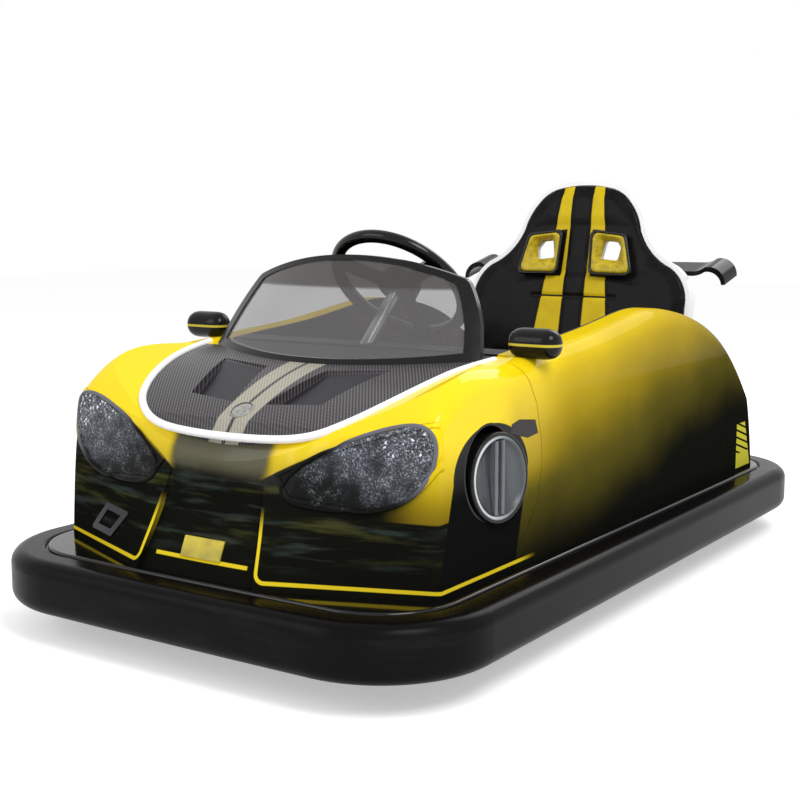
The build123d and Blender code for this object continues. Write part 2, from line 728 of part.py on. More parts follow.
# Door mirrors: a rounded housing cut flat behind, on a short foot
MIRROR_X = 372.0
MIRROR_Y = 420.0
MIRROR_Z = 580.0
MIRROR_RADIUS = 30.0
MIRROR_HALF = 55.0
MIRROR_SOFT = 25.0
MIRROR_BACK = 20.0
MIRROR_FOOT_BOTTOM = 540.0
MIRROR_FOOT = (36.0, 18.0, 8.0)
MIRROR_FOOT_SHIFT = (8.0, -28.0)
shoulder_top = shoulder_form(0)
for label, side in (("mirror_left", 1), ("mirror_right", -1)):
    with BuildPart() as mirror_housing:
        with BuildSketch(side_plane(MIRROR_X, MIRROR_Y - MIRROR_HALF, MIRROR_Z, side)):
            Circle(MIRROR_RADIUS)
        extrude(amount=2 * MIRROR_HALF)
        fillet(mirror_housing.edges().filter_by(GeomType.CIRCLE), MIRROR_SOFT)
        with Locations((MIRROR_X - MIRROR_BACK, side * MIRROR_Y, MIRROR_Z)):
            Box(MIRROR_RADIUS, 4 * MIRROR_HALF, 4 * MIRROR_RADIUS, align=(Align.MAX, Align.CENTER, Align.CENTER),
                mode=Mode.SUBTRACT)
        with BuildSketch(Plane.XY.offset(MIRROR_FOOT_BOTTOM)):
            with Locations((MIRROR_X + MIRROR_FOOT_SHIFT[0], side * (MIRROR_Y + MIRROR_FOOT_SHIFT[1]))):
                RectangleRounded(*MIRROR_FOOT)
        extrude(amount=MIRROR_Z - MIRROR_FOOT_BOTTOM)
        add(shoulder_top, mode=Mode.SUBTRACT)
    save(mirror_housing, label)

# Seat: a box with a cushion, and a bell-shaped back with two harness slots

seat_plane = Plane(SEAT_FOOT, x_dir=(0, 1, 0),
                   z_dir=(cos(radians(SEAT_LEAN)), 0, sin(radians(SEAT_LEAN))))
SEAT_BACK_BOTTOM = -110.0
SEAT_SHELL_BOTTOM = -220.0


# Half outline of the seat back above its straight sides, as arcs: start, middle, end
SEAT_ARCS = (((318, 100), (303, 150), (268, 187)), ((268, 187), (202, 237), (174, 285)),
             ((174, 285), (162, 322), (140, 357)), ((140, 357), (110, 386), (65, 402)),
             ((65, 402), (33, 407), (0, 408)))
HARNESS_SLOT = ((66, 206), (122, 200), (128, 236), (116, 252), (76, 256))
SLOT_SOFT = 7.0


def seat_back_outline(bottom, grow):
    with BuildSketch() as outline:
        with BuildLine():
            Polyline((0, bottom), (SEAT_HALF, bottom), SEAT_ARCS[0][0])
            for arc in SEAT_ARCS:
                ThreePointArc(*arc)
            mirror(about=Plane.YZ)
        make_face()
        if grow:
            offset(amount=grow)
    return outline.sketch


def harness_slots(grow):
    with BuildSketch() as slots:
        with BuildLine():
            Polyline(*HARNESS_SLOT, close=True)
        make_face()
        fillet(slots.vertices(), SLOT_SOFT)
        if grow:
            offset(amount=grow)
        mirror(about=Plane.YZ)
    return slots.sketch


SLOT_FRAME = 11.0
FRAME_OUT = 3.0
RIM_STEP = 6.0
PAD_SOFT = 6.0
PAD_TAPER = 40.0
with BuildPart() as seat_shell:
    with BuildSketch(seat_plane.offset(-PAD_THICK - SHELL_THICK)):
        add(seat_back_outline(SEAT_SHELL_BOTTOM, SHELL_EDGE))
        add(harness_slots(SLOT_FRAME), mode=Mode.SUBTRACT)
    extrude(amount=SHELL_THICK + RIM_STEP)
    with BuildSketch(seat_plane.offset(-PAD_THICK)):
        add(seat_back_outline(SEAT_BACK_BOTTOM, SEAT_GAP))
    extrude(amount=RIM_STEP, mode=Mode.SUBTRACT)
    with Locations((SEAT_FOOT[0], 0, SEAT_BASE_TOP)):
        Box(SEAT_HALF, WIDTH, SEAT_HALF, align=(Align.CENTER, Align.CENTER, Align.MAX), mode=Mode.SUBTRACT)
save(seat_shell, "seat_shell")

# Lumbar pad: the arc of its top, its lower corner, its height over the back
LUMBAR_TOP = ((115, 25), (0, 34))
LUMBAR_CORNER = (150, -60)
LUMBAR_HEIGHT = 10.0
LUMBAR_TAPER = 40.0
with BuildPart() as seat_back_pad:
    with BuildSketch(seat_plane.offset(-PAD_THICK)):
        add(seat_back_outline(SEAT_BACK_BOTTOM, 0))
    extrude(amount=PAD_THICK - PAD_SOFT)
    with BuildSketch(seat_plane.offset(-PAD_SOFT)):
        add(seat_back_outline(SEAT_BACK_BOTTOM, 0))
    extrude(amount=PAD_SOFT, taper=PAD_TAPER)
    with BuildSketch(seat_plane.offset(-PAD_THICK)):
        add(harness_slots(SLOT_FRAME))
    extrude(amount=PAD_THICK, mode=Mode.SUBTRACT)
    with BuildSketch(seat_plane):
        with BuildLine():
            (side_x, side_y), top = LUMBAR_TOP
            ThreePointArc((-side_x, side_y), top, (side_x, side_y))
            Polyline((side_x, side_y), LUMBAR_CORNER, (LUMBAR_CORNER[0], SEAT_BACK_BOTTOM + PAD_SOFT),
                     (-LUMBAR_CORNER[0], SEAT_BACK_BOTTOM + PAD_SOFT), (-LUMBAR_CORNER[0], LUMBAR_CORNER[1]),
                     (-side_x, side_y))
        make_face()
    extrude(amount=LUMBAR_HEIGHT, taper=LUMBAR_TAPER)
save(seat_back_pad, "seat_back_pad")

with BuildPart() as harness_frames:
    with BuildSketch(seat_plane.offset(-PAD_THICK - SHELL_THICK - FRAME_OUT)):
        add(harness_slots(SLOT_FRAME - SEAT_GAP))
        add(harness_slots(0), mode=Mode.SUBTRACT)
    extrude(amount=PAD_THICK + SHELL_THICK + 2 * FRAME_OUT)
save(harness_frames, "harness_frames")

CUSHION_FRONT = -160.0
CUSHION_REAR = -548.0
CUSHION_BOW = 20.0
CUSHION_SOFT = 18.0
BASE_FRONT = -175.0
BASE_REAR = -625.0
BASE_WIDTH = 680.0
BASE_WALL = 6.0
BASE_CORNER = 25.0
base_length = BASE_FRONT - BASE_REAR
base_height = SEAT_BASE_TOP - FLOOR_TOP
with BuildPart() as seat_base:
    with Locations(((BASE_FRONT + BASE_REAR) / 2, 0, FLOOR_TOP)):
        Box(base_length, BASE_WIDTH, base_height, align=(Align.CENTER, Align.CENTER, Align.MIN))
        fillet(seat_base.edges().filter_by(Axis.Z), BASE_CORNER)
        Box(base_length - 2 * BASE_WALL, BASE_WIDTH - 2 * BASE_WALL, base_height - BASE_WALL,
            align=(Align.CENTER, Align.CENTER, Align.MIN), mode=Mode.SUBTRACT)
save(seat_base, "seat_base")

with BuildPart() as seat_cushion:
    with BuildSketch(Plane.XY.offset(SEAT_BASE_TOP)):
        with BuildLine():
            end = CUSHION_FRONT - CUSHION_BOW
            ThreePointArc((end, -SEAT_HALF), (CUSHION_FRONT, 0), (end, SEAT_HALF))
            Polyline((end, SEAT_HALF), (CUSHION_REAR, SEAT_HALF), (CUSHION_REAR, -SEAT_HALF), (end, -SEAT_HALF))
        make_face()
    extrude(amount=CUSHION_THICK)
    fillet(seat_cushion.faces().sort_by(Axis.Z)[-1].edges(), CUSHION_SOFT)
save(seat_cushion, "seat_cushion")

# Rear wing on two struts: half section of the blade at its front edge, from the middle of the top
WING_FRONT = -705.0
WING_LENGTH = 90.0
WING_RISE = 22.0
WING_TOP = ((0, 680), (305, 681))
WING_HUMP = (((305, 681), (323, 684), (338, 692)), ((338, 692), (374, 686), (394, 648)))
WING_UNDER = (((384, 647), (367, 674), (338, 680)), ((338, 680), (322, 672), (305, 669)))
WING_BOTTOM = (0, 668)
STRUT_Y = 190.0
STRUT_THICK = 10.0
STRUT = ((-724, 679), (-776, 691), (-812, 260), (-742, 260))
with BuildPart() as rear_wing:
    with BuildSketch(Plane.YZ.offset(WING_FRONT)):
        with BuildLine():
            Line(*WING_TOP)
            for arc in WING_HUMP:
                ThreePointArc(*arc)
            Line(WING_HUMP[-1][-1], WING_UNDER[0][0])
            for arc in WING_UNDER:
                ThreePointArc(*arc)
            Line(WING_UNDER[-1][-1], WING_BOTTOM)
            mirror(about=Plane.YZ)
        make_face()
    extrude(amount=WING_LENGTH, dir=(-WING_LENGTH, 0, WING_RISE))
    for y in (STRUT_Y, -STRUT_Y):
        with BuildSketch(Plane.XZ.offset(-y)):
            with BuildLine():
                Polyline(*STRUT, close=True)
            make_face()
        extrude(amount=STRUT_THICK / 2, both=True)
    add(outer_form, mode=Mode.SUBTRACT)
save(rear_wing, "rear_wing")

# Tail lamps, round, set into the tail
with BuildPart() as tail_lamps:
    add(outer_form)
    add(inner_form, mode=Mode.SUBTRACT)
    add(tail_lamp_prism(TAIL_LAMP_RADIUS), mode=Mode.INTERSECT)
save(tail_lamps, "tail_lamps")

# Blank plate in the sunk middle of the nose
PLATE = (96.0, 35.0)
PLATE_Z = 219.0
PLATE_THICK = 3.0
with BuildPart() as front_plate:
    with BuildSketch(Plane.YZ):
        with Locations((0, PLATE_Z)):
            Rectangle(*PLATE)
    extrude(amount=LENGTH)
    add(nose_space(0), mode=Mode.INTERSECT)
    add(Location((PLATE_THICK, 0, 0)) * nose_space(0), mode=Mode.SUBTRACT)
save(front_plate, "front_plate")

# Square lamp frame on the right of the nose: corners in the front view
FOG_FRAME = ((-210, 255), (-299, 261), (-355, 202), (-267, 200))
FOG_BAR = 13.0
FOG_SOFT = 4.0
FOG_GAP = 0.35
with BuildPart() as fog_frame:
    with BuildSketch(Plane.YZ) as outline:
        with BuildLine():
            Polyline(*FOG_FRAME, close=True)
        make_face()
        fillet(outline.vertices(), FOG_SOFT)
        offset(amount=-FOG_BAR, mode=Mode.SUBTRACT)
    extrude(amount=LENGTH)
    add(proud_form, mode=Mode.INTERSECT)
    add(outer_form.moved(Location((FOG_GAP, 0, 0))), mode=Mode.SUBTRACT)
save(fog_frame, "fog_frame")

# Steering wheel on its column
HUB_BACK = 14.0
HUB_THICK = 26.0
SPOKE_BACK = 8.0
SPOKE_THICK = 12.0
SPOKE_ACROSS = 34.0
with BuildPart() as steering_wheel:
    with Locations(wheel_plane):
        Torus(RIM_RADIUS, RIM_TUBE)
    with BuildSketch(wheel_plane.offset(-HUB_BACK)):
        Circle(HUB_RADIUS)
    extrude(amount=HUB_THICK)
    with BuildSketch(wheel_plane.offset(-SPOKE_BACK)):
        with PolarLocations(0, 3, start_angle=180):
            Rectangle(RIM_RADIUS, SPOKE_ACROSS, align=(Align.MIN, Align.CENTER))
    extrude(amount=SPOKE_THICK)
save(steering_wheel, "steering_wheel")

with BuildPart() as steering_column:
    with BuildSketch(wheel_plane.offset(-HUB_BACK)):
        Circle(COLUMN_RADIUS)
    extrude(amount=HUB_BACK - COLUMN_LENGTH)
save(steering_column, "steering_column")

GEARBOX_REAR = 538.0
GEARBOX_FRONT = 642.0
GEARBOX_TOP = 380.0
GEARBOX_WIDTH = 90.0
GEARBOX_CORNER = 12.0
SPINDLE_DEPTH = 60.0
COLUMN_END_GAP = 2.0
bridge_top = BRIDGE_BOTTOM + BRIDGE_THICK
with BuildPart() as steering_gearbox:
    with Locations(((GEARBOX_REAR + GEARBOX_FRONT) / 2, 0, bridge_top)):
        Box(GEARBOX_FRONT - GEARBOX_REAR, GEARBOX_WIDTH, GEARBOX_TOP - bridge_top,
            align=(Align.CENTER, Align.CENTER, Align.MIN))
    fillet(steering_gearbox.edges().filter_by(Axis.Z), GEARBOX_CORNER)
    with BuildSketch(Plane.XY.offset(bridge_top)):
        with Locations((DRIVE_X, 0)):
            Circle(SPINDLE_RADIUS + BEARING_GAP)
    extrude(amount=SPINDLE_DEPTH, mode=Mode.SUBTRACT)
    with BuildSketch(wheel_plane.offset(-COLUMN_LENGTH - COLUMN_END_GAP)):
        Circle(COLUMN_RADIUS + BEARING_GAP)
    extrude(amount=COLUMN_LENGTH, mode=Mode.SUBTRACT)
save(steering_gearbox, "steering_gearbox")

# Drive unit: a turntable with a fork round the driven front wheel
HUB_OUT = 4.0
FORK_INSIDE = DRIVE_TYRE_WIDTH / 2 + HUB_OUT + FORK_GAP
TURNTABLE_GAP = 5.0
TURNTABLE_TOP = BRIDGE_BOTTOM - TURNTABLE_GAP
TURNTABLE_THICK = 12.0
TURNTABLE_RADIUS = 80.0
SPINDLE_END_GAP = 5.0
FORK_END = 28.0
FORK_SHOULDER = 50.0
DRIVE_AXLE_RADIUS = 10.0
with BuildPart() as drive_fork:
    with BuildSketch(Plane.XY.offset(TURNTABLE_TOP - TURNTABLE_THICK)):
        with Locations((DRIVE_X, 0)):
            Circle(TURNTABLE_RADIUS)
    extrude(amount=TURNTABLE_THICK)
    with BuildSketch(Plane.XY.offset(TURNTABLE_TOP)):
        with Locations((DRIVE_X, 0)):
            Circle(SPINDLE_RADIUS)
    extrude(amount=TURNTABLE_GAP + BRIDGE_THICK + SPINDLE_DEPTH - SPINDLE_END_GAP)
    for side in (1, -1):
        with BuildSketch(Plane((DRIVE_X, side * FORK_INSIDE, 0), x_dir=(side, 0, 0), z_dir=(0, side, 0))):
            with Locations((0, -AXLE_HEIGHT)):
                Circle(FORK_END)
            with BuildLine():
                fork_top = TURNTABLE_THICK - TURNTABLE_TOP
                Polyline((-FORK_END, -AXLE_HEIGHT), (FORK_END, -AXLE_HEIGHT), (FORK_SHOULDER, fork_top),
                         (-FORK_SHOULDER, fork_top), close=True)
            make_face()
        extrude(amount=FORK_PLATE)
    with BuildSketch(side_plane(DRIVE_X, 0, AXLE_HEIGHT, 1)):
        Circle(DRIVE_AXLE_RADIUS)
    extrude(amount=FORK_INSIDE, both=True)
save(drive_fork, "drive_fork")

MOTOR_RADIUS = 50.0
MOTOR_LENGTH = 96.0
MOTOR_CHAMFER = 6.0
with BuildPart() as drive_motor:
    with BuildSketch(side_plane(DRIVE_X, FORK_INSIDE + FORK_PLATE, AXLE_HEIGHT, 1)):
        Circle(MOTOR_RADIUS)
    extrude(amount=MOTOR_LENGTH)
    chamfer(drive_motor.edges().sort_by(Axis.Y)[-1], MOTOR_CHAMFER)
save(drive_motor, "drive_motor")

TYRE_SOFT = 8.0
RIM_WALL = 8.0
RIM_INSET = 2.0
WEB_HALF = 5.0
HUB_WALL = 12.0


def tyre_and_rim(tyre_label, rim_label, x, y, width, bore):
    middle = side_plane(x, y, AXLE_HEIGHT, 1)
    with BuildPart() as tyre:
        with BuildSketch(middle):
            Circle(TYRE_RADIUS)
        extrude(amount=width / 2, both=True)
        fillet(tyre.edges().filter_by(GeomType.CIRCLE), TYRE_SOFT)
        with BuildSketch(middle):
            Circle(RIM_OUTER)
        extrude(amount=width, both=True, mode=Mode.SUBTRACT)
    save(tyre, tyre_label)
    with BuildPart() as rim:
        with BuildSketch(middle):
            Circle(RIM_OUTER - SEAT_GAP)
            Circle(RIM_OUTER - RIM_WALL, mode=Mode.SUBTRACT)
        extrude(amount=width / 2 - RIM_INSET, both=True)
        with BuildSketch(middle):
            Circle(RIM_OUTER - RIM_WALL / 2)
        extrude(amount=WEB_HALF, both=True)
        with BuildSketch(middle):
            Circle(bore + HUB_WALL)
        extrude(amount=width / 2 + HUB_OUT, both=True)
        with BuildSketch(middle):
            Circle(bore + BEARING_GAP)
        extrude(amount=width, both=True, mode=Mode.SUBTRACT)
    save(rim, rim_label)


tyre_and_rim("drive_tyre", "drive_rim", DRIVE_X, 0, DRIVE_TYRE_WIDTH, DRIVE_AXLE_RADIUS)
for label, side in (("left", 1), ("right", -1)):
    tyre_and_rim(f"rear_tyre_{label}", f"rear_rim_{label}", REAR_X, side * REAR_Y, REAR_TYRE_WIDTH, AXLE_RADIUS)

# Pedals on the floor
PEDAL = ((300, FLOOR_TOP), (330, FLOOR_TOP), (372, 250), (362, 256))
PEDAL_Y = 90.0
PEDAL_WIDTH = 70.0
with BuildPart() as pedals:
    for y in (PEDAL_Y, -PEDAL_Y):
        with BuildSketch(Plane.XZ.offset(-y)):
            with BuildLine():
                Polyline(*PEDAL, close=True)
            make_face()
        extrude(amount=PEDAL_WIDTH / 2, both=True)
save(pedals, "pedals")
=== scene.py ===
# %% [markdown]
# # A battery bumper car, dressed for its picture
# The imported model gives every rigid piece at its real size. This lesson adds what the eye
# looks for: gel coat that fades from yellow to black, woven-fibre film under clear coat,
# smoked glass, moulded rubber and vinyl. Each piece rides on the body that carries it.

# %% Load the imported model
import math

import bmesh
import bpy
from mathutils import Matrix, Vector


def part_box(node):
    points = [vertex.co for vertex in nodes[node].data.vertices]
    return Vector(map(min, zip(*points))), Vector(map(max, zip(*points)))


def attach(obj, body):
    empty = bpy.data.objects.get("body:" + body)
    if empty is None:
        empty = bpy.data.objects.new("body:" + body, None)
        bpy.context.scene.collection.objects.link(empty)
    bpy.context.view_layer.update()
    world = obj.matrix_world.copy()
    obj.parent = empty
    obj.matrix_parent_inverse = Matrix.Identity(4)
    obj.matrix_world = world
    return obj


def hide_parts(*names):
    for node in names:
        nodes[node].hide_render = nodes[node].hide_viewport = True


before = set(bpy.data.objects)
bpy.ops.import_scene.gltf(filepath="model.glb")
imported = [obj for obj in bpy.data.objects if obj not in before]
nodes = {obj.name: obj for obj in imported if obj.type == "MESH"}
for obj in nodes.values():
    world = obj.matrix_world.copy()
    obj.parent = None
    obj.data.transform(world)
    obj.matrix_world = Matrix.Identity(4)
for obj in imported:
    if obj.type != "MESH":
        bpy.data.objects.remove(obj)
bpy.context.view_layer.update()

# %% [markdown]
# ## Shader maths as Python
# A node tree is hard to read as a list of links. Here a socket is wrapped in a small class,
# so that `1 - mask` or `height * 3 + noise` adds the Math nodes by itself. Colours and
# vectors go through their own nodes, because a Math node would turn a colour grey.


# %% A socket that understands arithmetic
class Wire:
    """One output socket of a node tree, with Python's operators."""

    def __init__(self, finish, socket):
        self.finish = finish
        self.socket = socket

    def __add__(self, other):
        return self.finish.maths("ADD", self, other)

    def __sub__(self, other):
        return self.finish.maths("SUBTRACT", self, other)

    def __rsub__(self, other):
        return self.finish.maths("SUBTRACT", other, self)

    def __mul__(self, other):
        return self.finish.maths("MULTIPLY", self, other)

    def __truediv__(self, other):
        return self.finish.maths("DIVIDE", self, other)

    def __abs__(self):
        return self.finish.maths("ABSOLUTE", self)

    __radd__ = __add__
    __rmul__ = __mul__

    def sine(self):
        return self.finish.maths("SINE", self)

    def fraction(self):
        return self.finish.maths("FRACT", self)

    def highest(self, other):
        return self.finish.maths("MAXIMUM", self, other)

    def ramp(self, start, end):
        """0 before start and 1 after end, softly; start may be the larger of the two."""
        settings = {"interpolation_type": "SMOOTHSTEP", "clamp": True}
        first, last = (0.0, 1.0) if start < end else (1.0, 0.0)
        values = {"Value": self, "From Min": min(start, end), "From Max": max(start, end),
                  "To Min": first, "To Max": last}
        return self.finish.node("ShaderNodeMapRange", settings, values)

    def within(self, low, high, soft):
        """1 between two values, with edges of the given softness."""
        return self.ramp(low - soft, low + soft) * self.ramp(high + soft, high - soft)


print("sockets can be added, subtracted, multiplied and divided")


# %% One finish, built node by node
class Finish:
    """A material, its Principled shader and the ways to feed it."""

    def __init__(self, name, colour=(0.5, 0.5, 0.5), roughness=0.5, metallic=0.0, shine=0.5):
        self.material = bpy.data.materials.new(name)
        self.material.use_nodes = True
        self.tree = self.material.node_tree
        self.tree.nodes.clear()
        self.skin = self.tree.nodes.new("ShaderNodeBsdfPrincipled")
        output = self.tree.nodes.new("ShaderNodeOutputMaterial")
        self.tree.links.new(self.skin.outputs[0], output.inputs["Surface"])
        self.feed("Base Color", colour)
        self.feed("Roughness", roughness)
        self.feed("Metallic", metallic)
        self.feed("Specular IOR Level", shine)

    def plug(self, target, value):
        if isinstance(value, Wire):
            self.tree.links.new(value.socket, target)
        elif isinstance(value, tuple) and len(value) == 3 and target.type == "RGBA":
            target.default_value = (*value, 1.0)
        else:
            target.default_value = value

    def feed(self, socket, value):
        self.plug(self.skin.inputs[socket], value)

    def node(self, kind, settings=None, values=None, out=0):
        """Adds a node: its type, its settings first, then its sockets' values or links."""
        added = self.tree.nodes.new(kind)
        for name, value in (settings or {}).items():
            setattr(added, name, value)
        for name, value in (values or {}).items():
            self.plug(added.inputs[name], value)
        return Wire(self, added.outputs[out])

    def maths(self, operation, *values):
        return self.node("ShaderNodeMath", {"operation": operation}, dict(enumerate(values)))

    def split(self, vector):
        parts = self.tree.nodes.new("ShaderNodeSeparateXYZ")
        self.tree.links.new(vector.socket, parts.inputs[0])
        return [Wire(self, socket) for socket in parts.outputs]

    def where(self):
        return self.node("ShaderNodeTexCoord", out="Object")

    def place(self):
        """x, y and z of the surface, in metres, in the car's own frame."""
        return self.split(self.where())

    def facing(self):
        """x, y and z of the surface's normal."""
        return self.split(self.node("ShaderNodeNewGeometry", out="Normal"))

    def noise(self, scale, detail=3.0, stretch=None):
        """Cloudy noise from 0 to 1; stretch gives each axis its own scale."""
        where = self.where()
        if stretch:
            settings = {"operation": "MULTIPLY"}
            where = self.node("ShaderNodeVectorMath", settings, {0: where, 1: stretch})
        values = {"Vector": where, "Scale": scale, "Detail": detail, "Roughness": 0.55}
        return self.node("ShaderNodeTexNoise", None, values)

    def cells(self, scale, out="Distance"):
        values = {"Vector": self.where(), "Scale": scale}
        return self.node("ShaderNodeTexVoronoi", None, values, out)

    def blend(self, mask, first, second):
        """A colour that goes from first to second as the mask goes from 0 to 1."""
        mixer = self.tree.nodes.new("ShaderNodeMix")
        mixer.data_type = "RGBA"
        mixer.clamp_factor = True
        self.plug(mixer.inputs[0], mask)
        self.plug(mixer.inputs[6], first)
        self.plug(mixer.inputs[7], second)
        return Wire(self, mixer.outputs[2])

    def relief(self, height, distance, strength=1.0):
        """Bump from a height from 0 to 1, fed to the normal."""
        values = {"Height": height, "Distance": distance, "Strength": strength}
        self.feed("Normal", self.node("ShaderNodeBump", None, values))


def dress(finish, *names):
    """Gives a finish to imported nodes, by name."""
    for name in names:
        mesh = nodes[name].data
        mesh.materials.clear()
        mesh.materials.append(finish.material)


print("a finish is a material with a Principled shader")

# %% [markdown]
# ## Camera, floor and light
# The camera stands ahead and to the left of the car at chest height. Its place came from
# the outline of the rubber ring, so it is written as real metres and degrees.

# %% The camera
CAMERA_PLACE = (2.6259, 1.6307, 0.8184)
CAMERA_HEADING = 214.098
CAMERA_DIP = -7.788
LENS = 59.66
SENSOR = 36.0

camera_data = bpy.data.cameras.new("camera")
camera_data.lens = LENS
camera_data.sensor_width = SENSOR
camera = bpy.data.objects.new("camera", camera_data)
bpy.context.collection.objects.link(camera)
camera.location = CAMERA_PLACE
camera.rotation_euler = (math.radians(90 + CAMERA_DIP), 0, math.radians(CAMERA_HEADING - 90))
bpy.context.scene.camera = camera
bpy.context.scene.view_settings.view_transform = "Standard"
print("camera at", CAMERA_PLACE)

# %% [markdown]
# A product picture stands on plain white. The world is white where the camera, a mirror
# or a clear pane looks at it, and gives only soft light otherwise. The floor glows a
# little for those rays, which lifts its far side to white and leaves the shadow under the
# ring.


# %% Floor and world
def seen_directly(tree):
    """1 where a ray from the camera, a mirror or a clear pane meets the surface."""
    path = tree.nodes.new("ShaderNodeLightPath")
    total = path.outputs["Is Camera Ray"]
    for ray in ("Is Glossy Ray", "Is Transmission Ray"):
        both = tree.nodes.new("ShaderNodeMath")
        both.operation = "MAXIMUM"
        tree.links.new(total, both.inputs[0])
        tree.links.new(path.outputs[ray], both.inputs[1])
        total = both.outputs[0]
    return total


WORLD_LIGHT = 0.62
WHITE = (1.0, 1.0, 1.0, 1.0)
world = bpy.data.worlds.new("studio")
bpy.context.scene.world = world
world.use_nodes = True
sky = world.node_tree
sky.nodes.clear()
grounds = []
for strength in (WORLD_LIGHT, 1.0):
    ground = sky.nodes.new("ShaderNodeBackground")
    ground.inputs["Color"].default_value = WHITE
    ground.inputs["Strength"].default_value = strength
    grounds.append(ground)
choose = sky.nodes.new("ShaderNodeMixShader")
sky.links.new(seen_directly(sky), choose.inputs[0])
sky.links.new(grounds[0].outputs[0], choose.inputs[1])
sky.links.new(grounds[1].outputs[0], choose.inputs[2])
sky_out = sky.nodes.new("ShaderNodeOutputWorld")
sky.links.new(choose.outputs[0], sky_out.inputs[0])

FLOOR_HALF = 14.0
FLOOR_GLOW = 0.42
floor_mesh = bpy.data.meshes.new("floor")
corners = [(-FLOOR_HALF, -FLOOR_HALF, 0), (FLOOR_HALF, -FLOOR_HALF, 0),
           (FLOOR_HALF, FLOOR_HALF, 0), (-FLOOR_HALF, FLOOR_HALF, 0)]
floor_mesh.from_pydata(corners, [], [(0, 1, 2, 3)])
floor = bpy.data.objects.new("floor", floor_mesh)
bpy.context.collection.objects.link(floor)
paper = Finish("floor_paper", colour=(0.9, 0.9, 0.9), roughness=1.0, shine=0.0)
paper.feed("Emission Strength", FLOOR_GLOW)
seen = Wire(paper, seen_directly(paper.tree))
paper.feed("Emission Color", paper.blend(seen, (0.0, 0.0, 0.0), (1.0, 1.0, 1.0)))
floor_mesh.materials.append(paper.material)
print("white floor and world")


# %% Lamps
def lamp(name, place, target, size, power):
    """A square soft box that looks at a point."""
    data = bpy.data.lights.new(name, "AREA")
    data.shape = "SQUARE"
    data.size = size
    data.energy = power
    light = bpy.data.objects.new(name, data)
    bpy.context.collection.objects.link(light)
    light.location = place
    light.rotation_euler = (Vector(target) - Vector(place)).to_track_quat("-Z", "Y").to_euler()


MIDDLE = (0.0, 0.0, 0.3)
LAMPS = (("key", (1.6, 2.6, 3.6), 1.8, 95), ("fill", (3.6, -2.0, 2.4), 2.2, 35),
         ("back", (-3.0, 0.5, 3.2), 2.4, 60))
for name, place, size, power in LAMPS:
    lamp(name, place, MIDDLE, size, power)
print(len(LAMPS), "soft lamps")

# %% [markdown]
# ## Colours, outlines and grain
# Colours are written as the eye reads them on a screen, from 0 to 255, and turned into the
# linear values of a shader. A mask for a printed or painted shape is the signed distance to
# its outline, below 0 inside, so its edge can be as sharp or as soft as the real one.


# %% Helpers for colour and outline
def tint(red, green, blue):
    """A screen colour as linear values."""
    values = []
    for part in (red, green, blue):
        share = part / 255
        values.append(share / 12.92 if share <= 0.04045 else ((share + 0.055) / 1.055) ** 2.4)
    return tuple(values)


def outline(across, up, corners):
    """Signed distance to a convex outline with anticlockwise corners."""
    reach = None
    for (a, b), (c, d) in zip(corners, corners[1:] + corners[:1]):
        length = math.hypot(c - a, d - b)
        edge = (across - a) * ((d - b) / length) - (up - b) * ((c - a) / length)
        reach = edge if reach is None else reach.highest(edge)
    return reach


def grained(name, colour, roughness, names, grain=900.0, depth=0.00008, fade=0.72, **more):
    """A moulded or painted finish: fine grain, and gloss that wanders a little."""
    finish = Finish(name, colour=colour, roughness=roughness, **more)
    patches = finish.noise(14.0, detail=4.0)
    finish.feed("Roughness", patches * 0.16 + (roughness - 0.08))
    darker = tuple(part * fade for part in colour)
    finish.feed("Base Color", finish.blend(patches.ramp(0.35, 0.7), darker, colour))
    finish.relief(finish.noise(grain, detail=2.0), depth)
    dress(finish, *names)


print("yellow gel coat in linear values", [round(v, 3) for v in tint(246, 214, 24)])

# %% [markdown]
# ## Body paint
# The shell is gel coat, bright yellow on the fenders and shoulders. An airbrush took it
# through olive to black on the lower flanks and the tail, and everything under the lamps is
# black. A picture wrapped on the mesh could do it, but the fade follows the car's height
# and length so closely that a mask worked out from x, y and z is simpler and has no seams.

# %% Where the airbrush fade lies
YELLOW = tint(247, 216, 20)
# Partly airbrush, partly painted shade: the middle yellow is darker because the flank turns away
# from the light.
FADE_AND_SHADE_YELLOW = tint(184, 156, 30)
OLIVE = tint(92, 84, 28)
BLACK = tint(19, 20, 15)
FADE_FRONT = 0.318
FADE_CLIMB = 0.15
FADE_CLOUD = 0.10
FENDER_LIFT = 0.09
BLACK_TO_OLIVE = (-0.16, 0.03)
OLIVE_TO_SHADE = (-0.02, 0.19)
SHADE_TO_YELLOW = (0.13, 0.33)

paint = Finish("body_paint", roughness=0.3, shine=0.0)
x, y, z = paint.place()
side = abs(y)
cloud = paint.noise(4.2, detail=5.0) - 0.5
middle = x.ramp(0.35, -0.60) * FADE_CLIMB + FADE_FRONT
lift = x.ramp(0.22, 0.44) * z.ramp(0.28, 0.38) * FENDER_LIFT
level = z - middle + cloud * FADE_CLOUD + lift
flank = paint.blend(level.ramp(*BLACK_TO_OLIVE), BLACK, OLIVE)
# The flank passes through a darker yellow: part airbrush, part painted shade of the side.
flank = paint.blend(level.ramp(*OLIVE_TO_SHADE), flank, FADE_AND_SHADE_YELLOW)
flank = paint.blend(level.ramp(*SHADE_TO_YELLOW), flank, YELLOW)
print("flank fade from", FADE_FRONT, "to", round(FADE_FRONT + FADE_CLIMB, 3), "m high")

# %% [markdown]
# The nose has hard masked edges instead: yellow above a curve that follows the top of the
# lamps, and yellow beside the lamps down to a level line. The lamps' own frames are sprayed
# with the nose, so both masks are functions that a second finish can call.

# %% Masks of the nose
LAMP_LINE = (0.2857, 0.670, -0.530)
HARD_LINE = 0.300
MASK_SOFT = 0.002
PANEL_EDGE = (0.100, 0.135)
CORNER_TURN = (0.34, 0.43)
LOW_YELLOW = tint(120, 100, 24)


